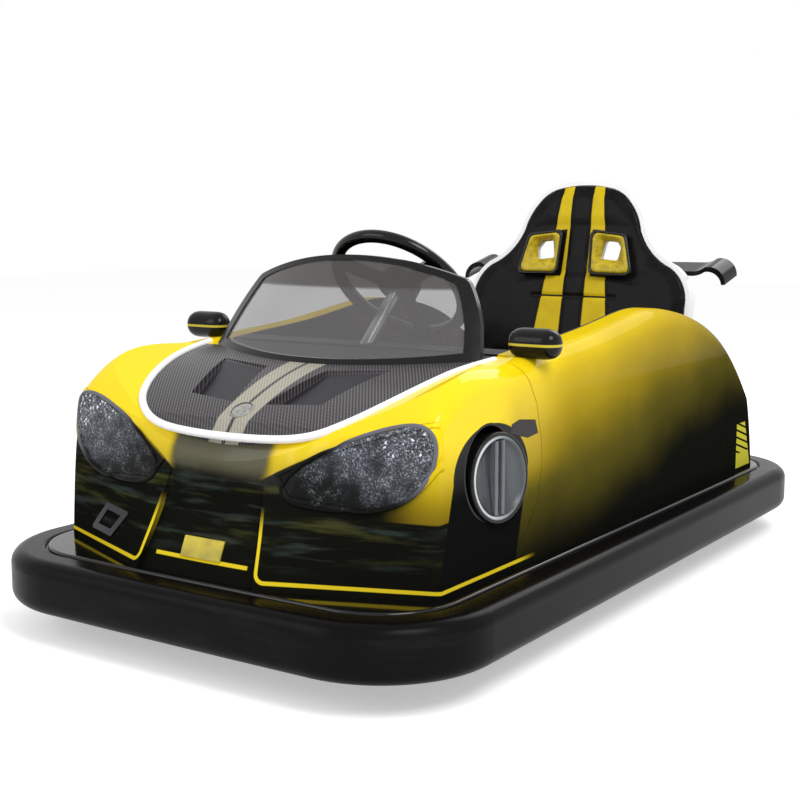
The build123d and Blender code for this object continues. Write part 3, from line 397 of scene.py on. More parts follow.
def over_lamps(side, z):
    """1 above the lamps' upper line, outside the sunk middle panel."""
    line = side * LAMP_LINE[1] + side * side * LAMP_LINE[2] + LAMP_LINE[0]
    return (z - line).ramp(-MASK_SOFT, MASK_SOFT) * side.ramp(*PANEL_EDGE)


def beside_lamps(side, z):
    """1 outside the lamps, down to the level line."""
    return side.ramp(*CORNER_TURN) * z.ramp(HARD_LINE - MASK_SOFT, HARD_LINE + MASK_SOFT)


def nose_yellow(finish, z):
    """Yellow that goes darker towards the level line."""
    return finish.blend(z.ramp(0.29, 0.45), LOW_YELLOW, YELLOW)


print("lamps' upper line from", LAMP_LINE[0], "m at the middle of the nose")

# %% [markdown]
# Below the masks the nose is black with dry brush streaks of grey and olive: noise that is
# stretched flat. A black arch is sprayed round each wheel disc, and the middle panel is
# olive at the top.

# %% The nose
ARCH_X, ARCH_Z = 0.576, 0.360
ARCH_HALF, ARCH_RISE = 0.134, 0.092
ARCH_SLOPE = 0.35
ARCH_BLACK = tint(16, 17, 16)
STREAK_GREY = tint(46, 54, 50)
STREAK_OLIVE = tint(62, 62, 34)
PANEL_OLIVE = tint(92, 90, 70)

above_lamp = over_lamps(side, z)
behind_lamp = beside_lamps(side, z) * y.ramp(-0.1, 0.1).highest(x.ramp(0.60, 0.50))
greys = paint.noise(1.7, detail=4.0, stretch=(2.0, 4.0, 38.0))
olives = paint.noise(1.0, detail=4.0, stretch=(3.0, 5.0, 46.0))
nose_black = paint.blend(greys.ramp(0.50, 0.72) * z.ramp(0.19, 0.24), BLACK, STREAK_GREY)
nose_black = paint.blend(olives.ramp(0.52, 0.74) * z.ramp(0.20, 0.27), nose_black, STREAK_OLIVE)
nose = paint.blend(above_lamp.highest(behind_lamp), nose_black, nose_yellow(paint, z))
below_arch = (ARCH_Z - z).highest(0.0)
arch_far = (x - ARCH_X - below_arch * ARCH_SLOPE) / ARCH_HALF
arch_high = ((z - ARCH_Z) / ARCH_RISE).highest(0.0)
arch = paint.maths("SQRT", arch_far * arch_far + arch_high * arch_high).ramp(1.01, 0.99)
arch = arch * side.ramp(0.42, 0.43)
nose = paint.blend(arch, nose, ARCH_BLACK)
panel = side.ramp(0.125, 0.105) * (z + cloud * 0.05).ramp(0.345, 0.385)
nose = paint.blend(panel, nose, PANEL_OLIVE)
body_colour = paint.blend((x - arch * 0.2).ramp(0.46, 0.56).highest(arch), flank, nose)
print("nose masks: above the lamps, beside them, the arches and the middle panel")

# %% [markdown]
# A thin yellow pinstripe runs round the foot of each front corner, up beside the middle
# panel, and across the middle a little higher. Each stretch is the band where a distance
# is nearly zero.

# %% Pinstripes
STRIPE_HALF = 0.0034
STRIPE_SOFT = 0.0008
PIN_YELLOW = tint(232, 205, 42)
FOOT_LEVEL = 0.182
PANEL_LEVEL = 0.199
CORNER_ROUND = 0.016
PANEL_FOOT, PANEL_TAPER, PANEL_HALF = 0.160, 0.170, 0.1475


def thin_band(distance):
    """1 within half a stripe's width of where the distance is 0."""
    return abs(distance).ramp(STRIPE_HALF + STRIPE_SOFT, STRIPE_HALF - STRIPE_SOFT)


panel_edge = side + (z - PANEL_FOOT) * PANEL_TAPER - PANEL_HALF
beyond_edge = (panel_edge * -1.0 + CORNER_ROUND).highest(0.0)
above_foot = (CORNER_ROUND - (z - FOOT_LEVEL)).highest(0.0)
bend = paint.maths("SQRT", beyond_edge * beyond_edge + above_foot * above_foot) - CORNER_ROUND
low_part = thin_band(bend) * x.ramp(0.42, 0.50) * z.ramp(0.31, 0.25)
mid_part = thin_band(z - PANEL_LEVEL) * side.ramp(0.113, 0.110) * x.ramp(0.70, 0.72)
pinstripe = low_part.highest(mid_part)
body_colour = paint.blend(pinstripe, body_colour, PIN_YELLOW)
print("pinstripes are", STRIPE_HALF * 2000, "mm wide")

# %% [markdown]
# A ladder of slanting yellow slats is printed on each rear corner. The coat of lacquer is
# strong on the yellow and thin on the black of the lower flank, where little is mirrored.

# %% Rear slats and lacquer
SLATS = ((-0.765, 0.176), (-0.662, 0.176), (-0.679, 0.290), (-0.738, 0.290))
SLAT_PITCH = 0.019
SLAT_SLOPE = 0.3
SLAT_YELLOW = tint(196, 188, 60)
slat_area = outline(x, z, SLATS).ramp(0.001, -0.001) * side.ramp(0.30, 0.32)
slats = ((z - x * SLAT_SLOPE) / SLAT_PITCH).fraction().ramp(0.26, 0.34)
slats = slats.highest(z.ramp(0.214, 0.212))
body_colour = paint.blend(slat_area * slats, body_colour, SLAT_YELLOW)
lacquer = level.ramp(0.05, 0.25).highest(above_lamp)
paint.feed("Base Color", body_colour)
paint.feed("Coat Weight", lacquer * (x.ramp(0.25, 0.48) * 0.33 + 0.12) + 0.004)
paint.feed("Coat Roughness", 0.06)
paint.feed("Roughness", paint.noise(9.0) * 0.14 + 0.26)
paint.relief(paint.noise(60.0, detail=2.0), 0.0005, 0.35)
dress(paint, "front_shell", "flank_left", "flank_right", "tail_shell")
print("body paint on four shells")

# %% [markdown]
# ## Bonnet
# The bonnet is covered with woven fibre film: ribs about 6 mm apart that run slantwise, each
# broken into floats by the crossing yarn. Over it lie two silver-grey stripes with a dark
# gap. The weave is a height made from two waves, used for colour and for relief.

# %% Woven film and stripes
RIB_ANGLE = math.radians(35.0)
RIB_PITCH = 0.0058
FLOAT_PITCH = 0.011
weave = Finish("bonnet_weave", roughness=0.3, shine=0.2)
x, y, z = weave.place()
side = abs(y)
across = (x * math.sin(RIB_ANGLE) - y * math.cos(RIB_ANGLE)) / RIB_PITCH
along = (x * math.cos(RIB_ANGLE) + y * math.sin(RIB_ANGLE)) / FLOAT_PITCH
rib = (across * (2 * math.pi)).sine() * 0.5 + 0.5
step = weave.maths("FLOOR", across) * 0.5
floats = ((along + step) * (2 * math.pi)).sine() * 0.5 + 0.5
height = rib * 0.75 + floats * 0.25
yarn = weave.blend(height.ramp(0.25, 0.9), tint(40, 38, 42), tint(96, 92, 94))
stripe_half = (x - 0.543) * (-0.038) + 0.046
stripes = (stripe_half - side).ramp(-0.0012, 0.0012) * side.ramp(0.0032, 0.0052)
stripes = stripes * x.ramp(0.810, 0.806)
silver = weave.blend(height, tint(146, 142, 128), tint(176, 172, 156))
bonnet_colour = weave.blend(stripes, yarn, silver)
SCOOP = ((0.722, 0.044), (0.708, 0.158), (0.560, 0.205), (0.584, 0.078))
scoop = outline(x, side, SCOOP)
# Painted shade: the sunk scoops are painted near black, where their pockets lie in shade.
bonnet_colour = weave.blend(scoop.ramp(0.001, -0.004), bonnet_colour, tint(30, 27, 34))
weave.feed("Base Color", bonnet_colour)
weave.feed("Roughness", height * -0.12 + 0.42)
weave.feed("Coat Weight", 0.08)
weave.feed("Coat Roughness", 0.12)
weave.relief(height, 0.0004, 0.6)
dress(weave, "bonnet")
print("ribs every", RIB_PITCH * 1000, "mm")


# %% [markdown]
# ## Lamps
# Each lamp is a smoked cover over a bed of glitter. Crushed-glass flecks are the cells of a
# Voronoi pattern of which only a few, picked by their random colour, show silver, and fewer
# still are painted near white as glints: a painted highlight. More of them show near the top,
# and the lamp is darker towards the bottom. The imported covers and frames have a few
# straight edges, so a smooth outline is drawn over them, and what lies outside it is
# painted like the nose.

# %% The lamp's outline
LAMP_OUTLINE = ((0.146, 0.343), (0.165, 0.322), (0.215, 0.3125), (0.290, 0.3110),
                (0.342, 0.3165), (0.386, 0.3330), (0.416, 0.3580), (0.434, 0.3890),
                (0.4385, 0.4250), (0.434, 0.4530), (0.415, 0.4690), (0.381, 0.4672),
                (0.336, 0.4562), (0.283, 0.4366), (0.236, 0.4135), (0.187, 0.3876))
print("lamp outline of", len(LAMP_OUTLINE), "corners, seen from the front")

# %% Glitter under a smoked cover
lens = Finish("lamp_lens", roughness=0.12, shine=0.05)
x, y, z = lens.place()
side = abs(y)
fine = lens.split(lens.cells(430.0, "Color"))[0]
coarse = lens.split(lens.cells(230.0, "Color"))[1]
drift = lens.noise(26.0, detail=5.0)
crowd = (z * 0.9 + side * 0.25 + (drift - 0.5) * 0.35).ramp(0.34, 0.52)
flecks = (fine * fine * fine * fine) * crowd
# Painted glints: a few coarse cells, more of them near the top, are painted near white.
painted_glints = (coarse + crowd * 0.25).ramp(1.15, 1.22)
smoke = lens.blend(drift.ramp(0.3, 0.7), tint(40, 42, 46), tint(70, 72, 80))
smoke = lens.blend((z + side * 0.35).ramp(0.42, 0.50), tint(20, 22, 20), smoke)
glitter = lens.blend(flecks * 0.9, smoke, tint(178, 184, 194))
glitter = lens.blend(painted_glints * crowd, glitter, tint(236, 238, 244))
painted = over_lamps(side, z).highest(beside_lamps(side, z))
round_about = lens.blend(painted, BLACK, nose_yellow(lens, z))
inside = outline(side, z, LAMP_OUTLINE).ramp(0.0005, -0.0005)
lens.feed("Base Color", lens.blend(inside, round_about, glitter))
lens.feed("Coat Weight", inside * (z + side * 0.35).ramp(0.45, 0.53) * 0.3)
lens.feed("Coat Roughness", 0.06)
lens.feed("Roughness", drift * 0.2 + 0.08)
lens.relief(fine, 0.0006, 0.5)
dress(lens, "headlamp_left", "headlamp_right", "headlamp_rims")
print("two lamps with glitter")

# %% [markdown]
# ## Wheel cups, vents and plates
# The front wheels are only moulded discs in the fender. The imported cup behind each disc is
# black like the arch, and the disc itself is turned later from a profile. The plates are
# plain, so one grained finish with its own colour serves each.

# %% Arch cups, vents and plates
grained("arch_cup", tint(16, 17, 17), 0.3, ["wheel_cover_left", "wheel_cover_right"], shine=0.15)
grained("vent_plate", tint(54, 51, 51), 0.4, ["side_vents"], shine=0.1)
grained("fog_trim", tint(44, 44, 48), 0.3, ["fog_frame"], shine=0.1)
grained("front_plate_yellow", tint(206, 186, 40), 0.4, ["front_plate"], fade=0.5)
print("cups, vents and plates")

# %% [markdown]
# ## Ring, deck and frame
# The ring is a satin moulding, rubbed duller along its side and glossier on the top where
# riders step over it. The deck is polished black, so that the paint shows in it.

# %% Rubber ring and deck
rubber = Finish("bumper_rubber", roughness=0.35, shine=0.05)
x, y, z = rubber.place()
normal_x, normal_y, normal_z = rubber.facing()
top = normal_z.ramp(0.35, 0.9)
scuff = rubber.noise(1.0, detail=6.0, stretch=(7.0, 7.0, 40.0))
worn = rubber.blend(scuff.ramp(0.45, 0.75), tint(15, 14, 14), tint(26, 24, 25))
rubber.feed("Base Color", rubber.blend(top, worn, tint(13, 12, 12)))
rubber.feed("Roughness", (1 - top) * 0.12 + scuff * 0.12 + 0.16)
rubber.relief(rubber.noise(700.0, detail=2.0), 0.00012, 0.7)
dress(rubber, "bumper_ring")

deck_finish = Finish("deck_gloss", colour=tint(14, 14, 13), shine=0.3)
deck_finish.feed("Roughness", deck_finish.noise(11.0, detail=5.0) * 0.08 + 0.05)
deck_finish.relief(deck_finish.noise(26.0), 0.0004, 0.25)
dress(deck_finish, "deck")
print("ring and deck")

# %% Steel, cast and moulded parts
STEEL_PARTS = ["bumper_band", "crossmember_front", "crossmember_middle", "crossmember_seat",
               "crossmember_rear", "rail_left", "rail_right", "drive_bridge", "floor_plate",
               "axle_bearings", "drive_fork", "pedals"]
grained("chassis_steel", tint(44, 44, 46), 0.42, STEEL_PARTS, grain=420.0, depth=0.00015)
grained("cast_grey", tint(112, 114, 116), 0.5, ["steering_gearbox", "drive_motor"], grain=260.0,
        depth=0.0003, metallic=0.5)
grained("bright_steel", tint(190, 190, 192), 0.26, ["rear_axle", "steering_column"], metallic=1.0)
grained("rim_paint", tint(150, 152, 156), 0.36, ["drive_rim", "rear_rim_left", "rear_rim_right"],
        metallic=0.7)
grained("battery_case", tint(70, 72, 78), 0.5, ["battery"], grain=180.0, depth=0.0004)
grained("liner_black", tint(24, 23, 24), 0.5, ["cockpit_tub", "dash", "seat_base"], grain=300.0,
        depth=0.0003, shine=0.15)
grained("gloss_black", tint(13, 13, 13), 0.12, ["windscreen_frame", "steering_wheel"], grain=60.0,
        depth=0.0001, shine=0.25)
grained("white_trim", tint(250, 250, 252), 0.25, ["seat_shell"], grain=50.0,
        depth=0.0001, fade=0.93)
print("steel, castings, liners and gloss trim")

# %% [markdown]
# Tyres are matt rubber with cross grooves. The grooves are worked out from the angle round
# each wheel's axle, so they stay on the tyre when it turns.


# %% Tyres
TREAD_BLOCKS = 36


def tyre_finish(node):
    """Matt rubber with grooves every few degrees round the axle."""
    low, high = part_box(node)
    centre = (low + high) / 2
    finish = Finish("rubber_" + node, colour=tint(30, 30, 30), roughness=0.8, shine=0.3)
    x, y, z = finish.place()
    turn = finish.maths("ARCTAN2", z - centre.z, x - centre.x)
    blocks = (turn * (TREAD_BLOCKS / (2 * math.pi))).fraction().within(0.12, 0.88, 0.05)
    dust = finish.noise(30.0, detail=5.0)
    worn = finish.blend(dust.ramp(0.4, 0.8), tint(27, 27, 27), tint(58, 56, 52))
    finish.feed("Base Color", finish.blend(blocks, tint(14, 14, 14), worn))
    finish.relief(blocks, 0.002, 0.8)
    dress(finish, node)


for node in ("drive_tyre", "rear_tyre_left", "rear_tyre_right"):
    tyre_finish(node)
print("three tyres with", TREAD_BLOCKS, "blocks")

# %% [markdown]
# ## Windscreen, wing and mirrors
# The screen is smoked sheet, 5 mm thick. Where the white studio shows through it is only
# slightly grey, and a darker band is printed along the top. Alpha does this with one thin
# layer, which stays right in any viewer.

# %% Smoked screen
BAND_DEPTH, BAND_SOFT = 0.060, 0.008
low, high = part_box("windscreen")
glass = Finish("screen_glass", roughness=0.04, shine=0.3)
x, y, z = glass.place()
band = z.ramp(high.z - BAND_DEPTH, high.z - BAND_DEPTH + BAND_SOFT)
haze = glass.noise(7.0, detail=4.0)
glass.feed("Base Color", glass.blend(band, tint(112, 110, 112), tint(74, 71, 68)))
glass.feed("Alpha", band * 0.36 + haze * 0.12 + 0.40)
glass.feed("Roughness", haze * 0.06 + 0.02)
dress(glass, "windscreen")
print("screen from", round(low.z, 3), "to", round(high.z, 3), "m high")

# %% Wing
wing = Finish("wing_black", roughness=0.14, shine=0.08)
normal_x, normal_y, normal_z = wing.facing()
wing.feed("Base Color", wing.blend(normal_z.ramp(-0.1, -0.6), tint(20, 20, 20), tint(50, 54, 28)))
wing.feed("Roughness", wing.noise(18.0) * 0.1 + 0.1)
wing.relief(wing.noise(40.0), 0.0004, 0.3)
dress(wing, "rear_wing")
print("black wing with an olive underside")

# %% [markdown]
# The mirrors are gloss black with one thin yellow line round the middle. The tail lamps are
# red lenses cast with small square facets, which a product of two saw-tooth waves gives.

# %% Mirror gloss and tail lamps
low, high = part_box("mirror_left")
LINE_LEVEL = 0.5 * (low.z + high.z)
shell = Finish("mirror_black", roughness=0.1, shine=0.15)
x, y, z = shell.place()
line = z.within(LINE_LEVEL - 0.004, LINE_LEVEL + 0.001, 0.0006)
shell.feed("Base Color", shell.blend(line, tint(18, 18, 18), tint(196, 182, 62)))
shell.feed("Roughness", shell.noise(25.0) * 0.1 + 0.05)
shell.relief(shell.noise(60.0), 0.0002, 0.3)

FACETS_PER_METRE = 160.0
red = Finish("red_lens", roughness=0.15, shine=0.15)
x, y, z = red.place()
facets = ((z * FACETS_PER_METRE).fraction() - 0.5) * ((y * FACETS_PER_METRE).fraction() - 0.5)
red.feed("Base Color", red.blend(facets.ramp(-0.2, 0.2), tint(112, 8, 10), tint(180, 18, 18)))
red.feed("Coat Weight", 0.12)
red.relief(facets, 0.001, 0.6)
dress(red, "tail_lamps")
print("yellow line on the mirrors at", round(LINE_LEVEL, 3), "m")

# %% [markdown]
# ## Seat back and cushion
# Both are foam under glossy vinyl. A foam pad is crowned: air-tight cloth under a little
# pressure takes the same form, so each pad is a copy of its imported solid, meshed evenly,
# made slightly smaller and then blown up by the cloth solver. The sides that lie on the
# shell are pinned. Points may only move a few millimetres, which keeps the pad in its place.


# %% Making a soft copy
def settled(piece):
    """The mesh that a piece's modifiers give, as a plain mesh with no modifiers left."""
    ready = piece.evaluated_get(bpy.context.evaluated_depsgraph_get())
    mesh = bpy.data.meshes.new_from_object(ready)
    piece.modifiers.clear()
    piece.data = mesh
    return mesh


def soft_copy(name, node, voxel, shrink):
    """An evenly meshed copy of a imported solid, a little smaller than it."""
    piece = bpy.data.objects.new(name, nodes[node].data.copy())
    bpy.context.collection.objects.link(piece)
    even = piece.modifiers.new("even", "REMESH")
    even.mode = "VOXEL"
    even.voxel_size = voxel
    mesh = settled(piece)
    normals = [vertex.normal.copy() for vertex in mesh.vertices]
    for vertex, normal in zip(mesh.vertices, normals):
        vertex.co -= normal * shrink
    return piece


CLOTH_FRAMES = 20


def swell(piece, held, pressure, cap):
    """Blows the pad up, holding the points that held(place, normal) picks."""
    mesh = piece.data
    before = [vertex.co.copy() for vertex in mesh.vertices]
    fixed = [v.index for v in mesh.vertices if held(v.co, v.normal)]
    group = piece.vertex_groups.new(name="held")
    group.add(fixed, 1.0, "REPLACE")
    cloth = piece.modifiers.new("vinyl", "CLOTH").settings
    cloth.vertex_group_mass = "held"
    cloth.use_pressure = True
    cloth.uniform_pressure_force = pressure
    cloth.effector_weights.gravity = 0.0
    cloth.quality = 4
    for number in range(1, CLOTH_FRAMES + 1):
        bpy.context.scene.frame_set(number)
    mesh = settled(piece)
    bpy.context.scene.frame_set(1)
    farthest = 0.0
    for vertex, start in zip(mesh.vertices, before):
        move = vertex.co - start
        if move.length > cap:
            vertex.co = start + move * (cap / move.length)
        farthest = max(farthest, (vertex.co - start).length)
    print(piece.name, len(mesh.vertices), "points,", len(fixed), "held, moved up to",
          round(farthest * 1000, 1), "mm")


def carve(piece, depth, width, distance):
    """Presses a sewn channel where distance(place) is near 0, along the normals."""
    mesh = piece.data
    normals = [vertex.normal.copy() for vertex in mesh.vertices]
    for vertex, normal in zip(mesh.vertices, normals):
        gap = distance(vertex.co)
        if gap is not None and abs(gap) < width * 2:
            vertex.co -= normal * (depth * math.exp(-((gap / width) ** 2) * 2))


def shade(piece, smooth=True):
    """Shades every face of a piece smooth or flat."""
    for face in piece.data.polygons:
        face.use_smooth = smooth


def finish_pad(piece, node):
    """One subdivision, smooth shading, the imported pad hidden and the new one attached to the
    car.
    """
    piece.modifiers.new("smooth", "SUBSURF").levels = 1
    settled(piece)
    shade(piece)
    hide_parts(node)
    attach(piece, "car")


print("soft pieces can be copied, blown up and sewn")

# %% The seat's own directions
LEAN = math.radians(11.2)
SEAT_FOOT = Vector((-0.600, 0.0, 0.510))
SEAT_UP = Vector((-math.sin(LEAN), 0.0, math.cos(LEAN)))
SEAT_OUT = Vector((math.cos(LEAN), 0.0, math.sin(LEAN)))
SLOT = ((0.066, 0.206), (0.122, 0.200), (0.128, 0.236), (0.116, 0.252), (0.076, 0.256))
FRAME_OUTER = ((0.053, 0.166), (0.166, 0.164), (0.140, 0.264), (0.048, 0.275))
CREASE = 0.102
CREASE_LEVEL = 0.610
INNER_EDGE, OUTER_EDGE = 0.030, 0.098
INNER_TAPER, OUTER_TAPER = 0.0067, 0.124


def on_seat(place):
    """Across, up and out from the seat plane's foot."""
    arm = place - SEAT_FOOT
    return arm.y, arm.dot(SEAT_UP), arm.dot(SEAT_OUT)


def slot_distance(across, up):
    """Distance from a harness slot's outline, in plain numbers."""
    reach = -1.0
    for (a, b), (c, d) in zip(SLOT, SLOT[1:] + SLOT[:1]):
        length = math.hypot(c - a, d - b)
        reach = max(reach, ((abs(across) - a) * (d - b) - (up - b) * (c - a)) / length)
    return reach


def stripe_edges(up):
    """Inner and outer edge of the yellow stripes, from a number or a socket."""
    height = up * SEAT_UP.z + (SEAT_FOOT.z - CREASE_LEVEL)
    return height * -INNER_TAPER + INNER_EDGE, height * -OUTER_TAPER + OUTER_EDGE


print("stripe at the crease from", stripe_edges(CREASE))

# %% [markdown]
# The back's piping channels follow the stripes, and a crease crosses the lumbar pad. They
# are pressed into the mesh, because a groove that can be seen from the side is a shape and
# not only a shade.

# %% Seat back
PRESSURE = 4.0
STRIPE_END = 0.39
CREASE_HALF = 0.125
back = soft_copy("seat_back", "seat_back_pad", 0.0055, 0.0012)


def back_held(place, normal):
    across, up, out = on_seat(place)
    return normal.dot(SEAT_OUT) < 0.2 or slot_distance(across, up) < 0.042


def stripe_channel(place):
    across, up, out = on_seat(place)
    inner, outer = stripe_edges(up)
    if slot_distance(across, up) < 0.034 or up > STRIPE_END:
        return None
    return min(abs(abs(across) - inner), abs(abs(across) - outer))


def crease_channel(place):
    across, up, out = on_seat(place)
    return up - CREASE if abs(across) < CREASE_HALF else None


swell(back, back_held, PRESSURE, 0.005)
carve(back, 0.0022, 0.0045, stripe_channel)
carve(back, 0.0045, 0.0060, crease_channel)
finish_pad(back, "seat_back_pad")

# %% [markdown]
# The cushion is blown up further, since it is thicker foam. Its floor lies on the seat box
# and is held, and its channels run from front to back in line with those of the back.

# %% Cushion
cushion = soft_copy("seat_pad", "seat_cushion", 0.0065, 0.0035)
CUSHION_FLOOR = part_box("seat_cushion")[0].z
CHANNELS = (0.030, 0.110, 0.215)


def cushion_held(place, normal):
    return place.z < CUSHION_FLOOR + 0.012


def cushion_channel(place):
    if place.z < CUSHION_FLOOR + 0.04:
        return None
    return min(abs(abs(place.y) - line) for line in CHANNELS)


swell(cushion, cushion_held, PRESSURE, 0.014)
carve(cushion, 0.0045, 0.0065, cushion_channel)
finish_pad(cushion, "seat_cushion")

# %% [markdown]
# Seat vinyl is thin, glossy and fine grained. The racing stripes are yellow panels sewn in,
# with a dark line of shadow along each channel, and a black lip frames every harness slot.

# %% Vinyl and stripes
SEAM = 0.0016
PAD_BACK = -0.535
vinyl = Finish("seat_vinyl", roughness=0.3, shine=0.06)
x, y, z = vinyl.place()
side = abs(y)
up = (z - SEAT_FOOT.z) * SEAT_UP.z + (x - SEAT_FOOT.x) * SEAT_UP.x
inner, outer = stripe_edges(up)
on_back = (side - inner).ramp(SEAM, SEAM * 2) * (outer - side).ramp(SEAM, SEAM * 2)
on_back = on_back * outline(side, up, FRAME_OUTER).ramp(0.0085, 0.0105)
on_back = on_back * abs(up - CREASE).ramp(0.0015, 0.0035)
on_pad = side.within(CHANNELS[0] + 0.003, CHANNELS[1] - 0.003, 0.001)
stripes = vinyl.blend((x - PAD_BACK).ramp(-0.004, 0.004), on_back, on_pad)
mottle = vinyl.noise(16.0, detail=4.0)
yellow = vinyl.blend(mottle.ramp(0.3, 0.7), tint(214, 184, 30), tint(224, 196, 34))
black = vinyl.blend(mottle.ramp(0.3, 0.7), tint(19, 18, 18), tint(28, 26, 26))
vinyl.feed("Base Color", vinyl.blend(stripes, black, yellow))
vinyl.feed("Roughness", mottle * 0.15 + 0.18)
vinyl.relief(vinyl.cells(620.0), 0.0002, 0.5)
for piece in (back, cushion):
    piece.data.materials.clear()
    piece.data.materials.append(vinyl.material)
print("striped vinyl on two pads")

# %% [markdown]
# Each harness slot is lined by a yellow funnel: a broad rounded flange on the vinyl that
# narrows to the hole through the shell. It is lofted from one rounded outline to another,
# and a black roll of vinyl runs round the flange.


# %% Rounded outlines
def rounded(corners, radius, steps=6):
    """The points of an outline with its corners rounded."""
    points = []
    for number, corner in enumerate(corners):
        here = Vector(corner)
        back_way = (Vector(corners[number - 1]) - here).normalized()
        on_way = (Vector(corners[(number + 1) % len(corners)]) - here).normalized()
        half = back_way.angle(on_way) / 2
        middle = here + (back_way + on_way).normalized() * (radius / math.sin(half))
        first = here + back_way * (radius / math.tan(half)) - middle
        last = here + on_way * (radius / math.tan(half)) - middle
        sweep = math.atan2(first.x * last.y - first.y * last.x, first.dot(last))
        for step in range(steps + 1):
            angle = sweep * step / steps
            turn = Vector((first.x * math.cos(angle) - first.y * math.sin(angle),
                           first.x * math.sin(angle) + first.y * math.cos(angle)))
            points.append(middle + turn)
    return points


def even_loop(points, count):
    """The same closed line with evenly spaced points, from the one farthest up and in."""
    reach = [0.0]
    for number, point in enumerate(points):
        reach.append(reach[-1] + (points[(number + 1) % len(points)] - point).length)
    start = max(range(len(points)), key=lambda n: points[n].y - points[n].x)
    loop = []
    for number in range(count):
        goal = (reach[start] + reach[-1] * number / count) % reach[-1]
        part = max(n for n in range(len(points)) if reach[n] <= goal)
        share = (goal - reach[part]) / max(reach[part + 1] - reach[part], 1e-9)
        loop.append(points[part].lerp(points[(part + 1) % len(points)], share))
    return loop


def fit_out(piece, finish, body="car"):
    """Gives a new piece its finish and the body it rides on."""
    piece.data.materials.append(finish.material)
    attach(piece, body)


def lofted(name, loops):
    """A skin through closed loops that have the same number of points."""
    mesh = bpy.data.meshes.new(name)
    shape = bmesh.new()
    rings = [[shape.verts.new(place) for place in loop] for loop in loops]
    count = len(rings[0])
    for first, second in zip(rings, rings[1:]):
        for number in range(count):
            after = (number + 1) % count
            shape.faces.new((first[number], first[after], second[after], second[number]))
    bmesh.ops.recalc_face_normals(shape, faces=shape.faces)
    for face in shape.faces:
        face.smooth = True
    shape.to_mesh(mesh)
    shape.free()
    piece = bpy.data.objects.new(name, mesh)
    bpy.context.collection.objects.link(piece)
    return piece


def seat_place(point, out, hand):
    """A point of the seat's plane, moved out from it, on the left or the right."""
    return SEAT_FOOT + Vector((0, hand * point.x, 0)) + SEAT_UP * point.y + SEAT_OUT * out


print("outlines can be rounded, spaced evenly and lofted")

# %% Slot funnels and their rolls
LOOP_POINTS = 72
FUNNEL = ((0.00, 0.010), (0.00, 0.0165), (0.04, 0.0195), (0.14, 0.0212), (0.36, 0.0208),
          (0.60, 0.0165), (0.85, 0.0095), (1.00, 0.0040), (1.00, -0.0120))
ROLL_RADIUS = 0.0042
ROLL_SIDES = 12
ROLL_GAP = 0.0035
ROLL_OUT = 0.0165
FRAME_REACH = 0.052
inner_slot = even_loop(rounded(SLOT, 0.007), LOOP_POINTS)
outer_slot = even_loop(rounded(FRAME_OUTER, 0.014), LOOP_POINTS)
heart = sum(outer_slot, Vector((0, 0))) / LOOP_POINTS
funnel_yellow = Finish("harness_yellow", roughness=0.3, shine=0.3)
cloud = funnel_yellow.noise(60.0, detail=4.0)
mottled = funnel_yellow.blend(cloud.ramp(0.3, 0.7), tint(176, 152, 26), tint(212, 188, 42))
funnel_yellow.feed("Base Color", mottled)
funnel_yellow.feed("Roughness", cloud * 0.2 + 0.2)
funnel_yellow.relief(funnel_yellow.noise(900.0), 0.0001, 0.4)
roll_black = Finish("slot_roll", colour=tint(18, 17, 17), shine=0.3)
roll_black.feed("Roughness", roll_black.noise(80.0) * 0.15 + 0.1)
for hand, word in ((1, "left"), (-1, "right")):
    loops = []
    for share, out in FUNNEL:
        pairs = zip(outer_slot, inner_slot)
        loops.append([seat_place(a.lerp(b, share), out, hand) for a, b in pairs])
    funnel = lofted("slot_funnel_" + word, loops)
    fit_out(funnel, funnel_yellow)
    if hand > 0:
        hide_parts("harness_frames")
    rolls = []
    for number in range(ROLL_SIDES + 1):
        angle = 2 * math.pi * number / ROLL_SIDES
        grow = 1 + (ROLL_GAP + ROLL_RADIUS * math.cos(angle)) / FRAME_REACH
        out = ROLL_OUT + ROLL_RADIUS * math.sin(angle)
        rolls.append([seat_place(heart + (a - heart) * grow, out, hand) for a in outer_slot])
    roll = lofted("slot_roll_" + word, rolls)
    fit_out(roll, roll_black)
print("two funnels and two rolls")

# %% [markdown]
# ## Small fittings
# Round things are turned: a profile is spun about an axis. One helper does that for the
# badge, the wheel discs, the lamp bezels and the nuts, from lists of radius and height.


# %% Turned pieces
def turned(name, profile, place, axis, sides=40):
    """Spins a profile of (radius, height) pairs about an axis through a place."""
    mesh = bpy.data.meshes.new(name)
    shape = bmesh.new()
    rings = []
    for radius, height in profile:
        count = 1 if radius == 0 else sides
        ring = []
        for number in range(count):
            angle = 2 * math.pi * number / sides
            point = (radius * math.cos(angle), radius * math.sin(angle), height)
            ring.append(shape.verts.new(point))
        rings.append(ring)
    for low_ring, high_ring in zip(rings, rings[1:]):
        for number in range(sides):
            after = (number + 1) % sides
            corners = [low_ring[number % len(low_ring)], low_ring[after % len(low_ring)],
                       high_ring[after % len(high_ring)], high_ring[number % len(high_ring)]]
            unique = list(dict.fromkeys(corners))
            shape.faces.new(unique)
    if len(rings[0]) > 1:
        shape.faces.new(rings[0][::-1])
    if len(rings[-1]) > 1:
        shape.faces.new(rings[-1])
    turn = Vector(axis).to_track_quat("Z", "Y").to_matrix().to_4x4()
    turn.translation = Vector(place)
    bmesh.ops.transform(shape, matrix=turn, verts=shape.verts)
    bmesh.ops.recalc_face_normals(shape, faces=shape.faces)
    for face in shape.faces:
        face.smooth = sides > 8
    shape.to_mesh(mesh)
    shape.free()
    piece = bpy.data.objects.new(name, mesh)
    bpy.context.collection.objects.link(piece)
    return piece


print("turned pieces are spun from a profile")

# %% [markdown]
# The badge on the bonnet is a plain metal disc with a raised rim. A ray dropped on the
# bonnet finds where it sits and how it leans.

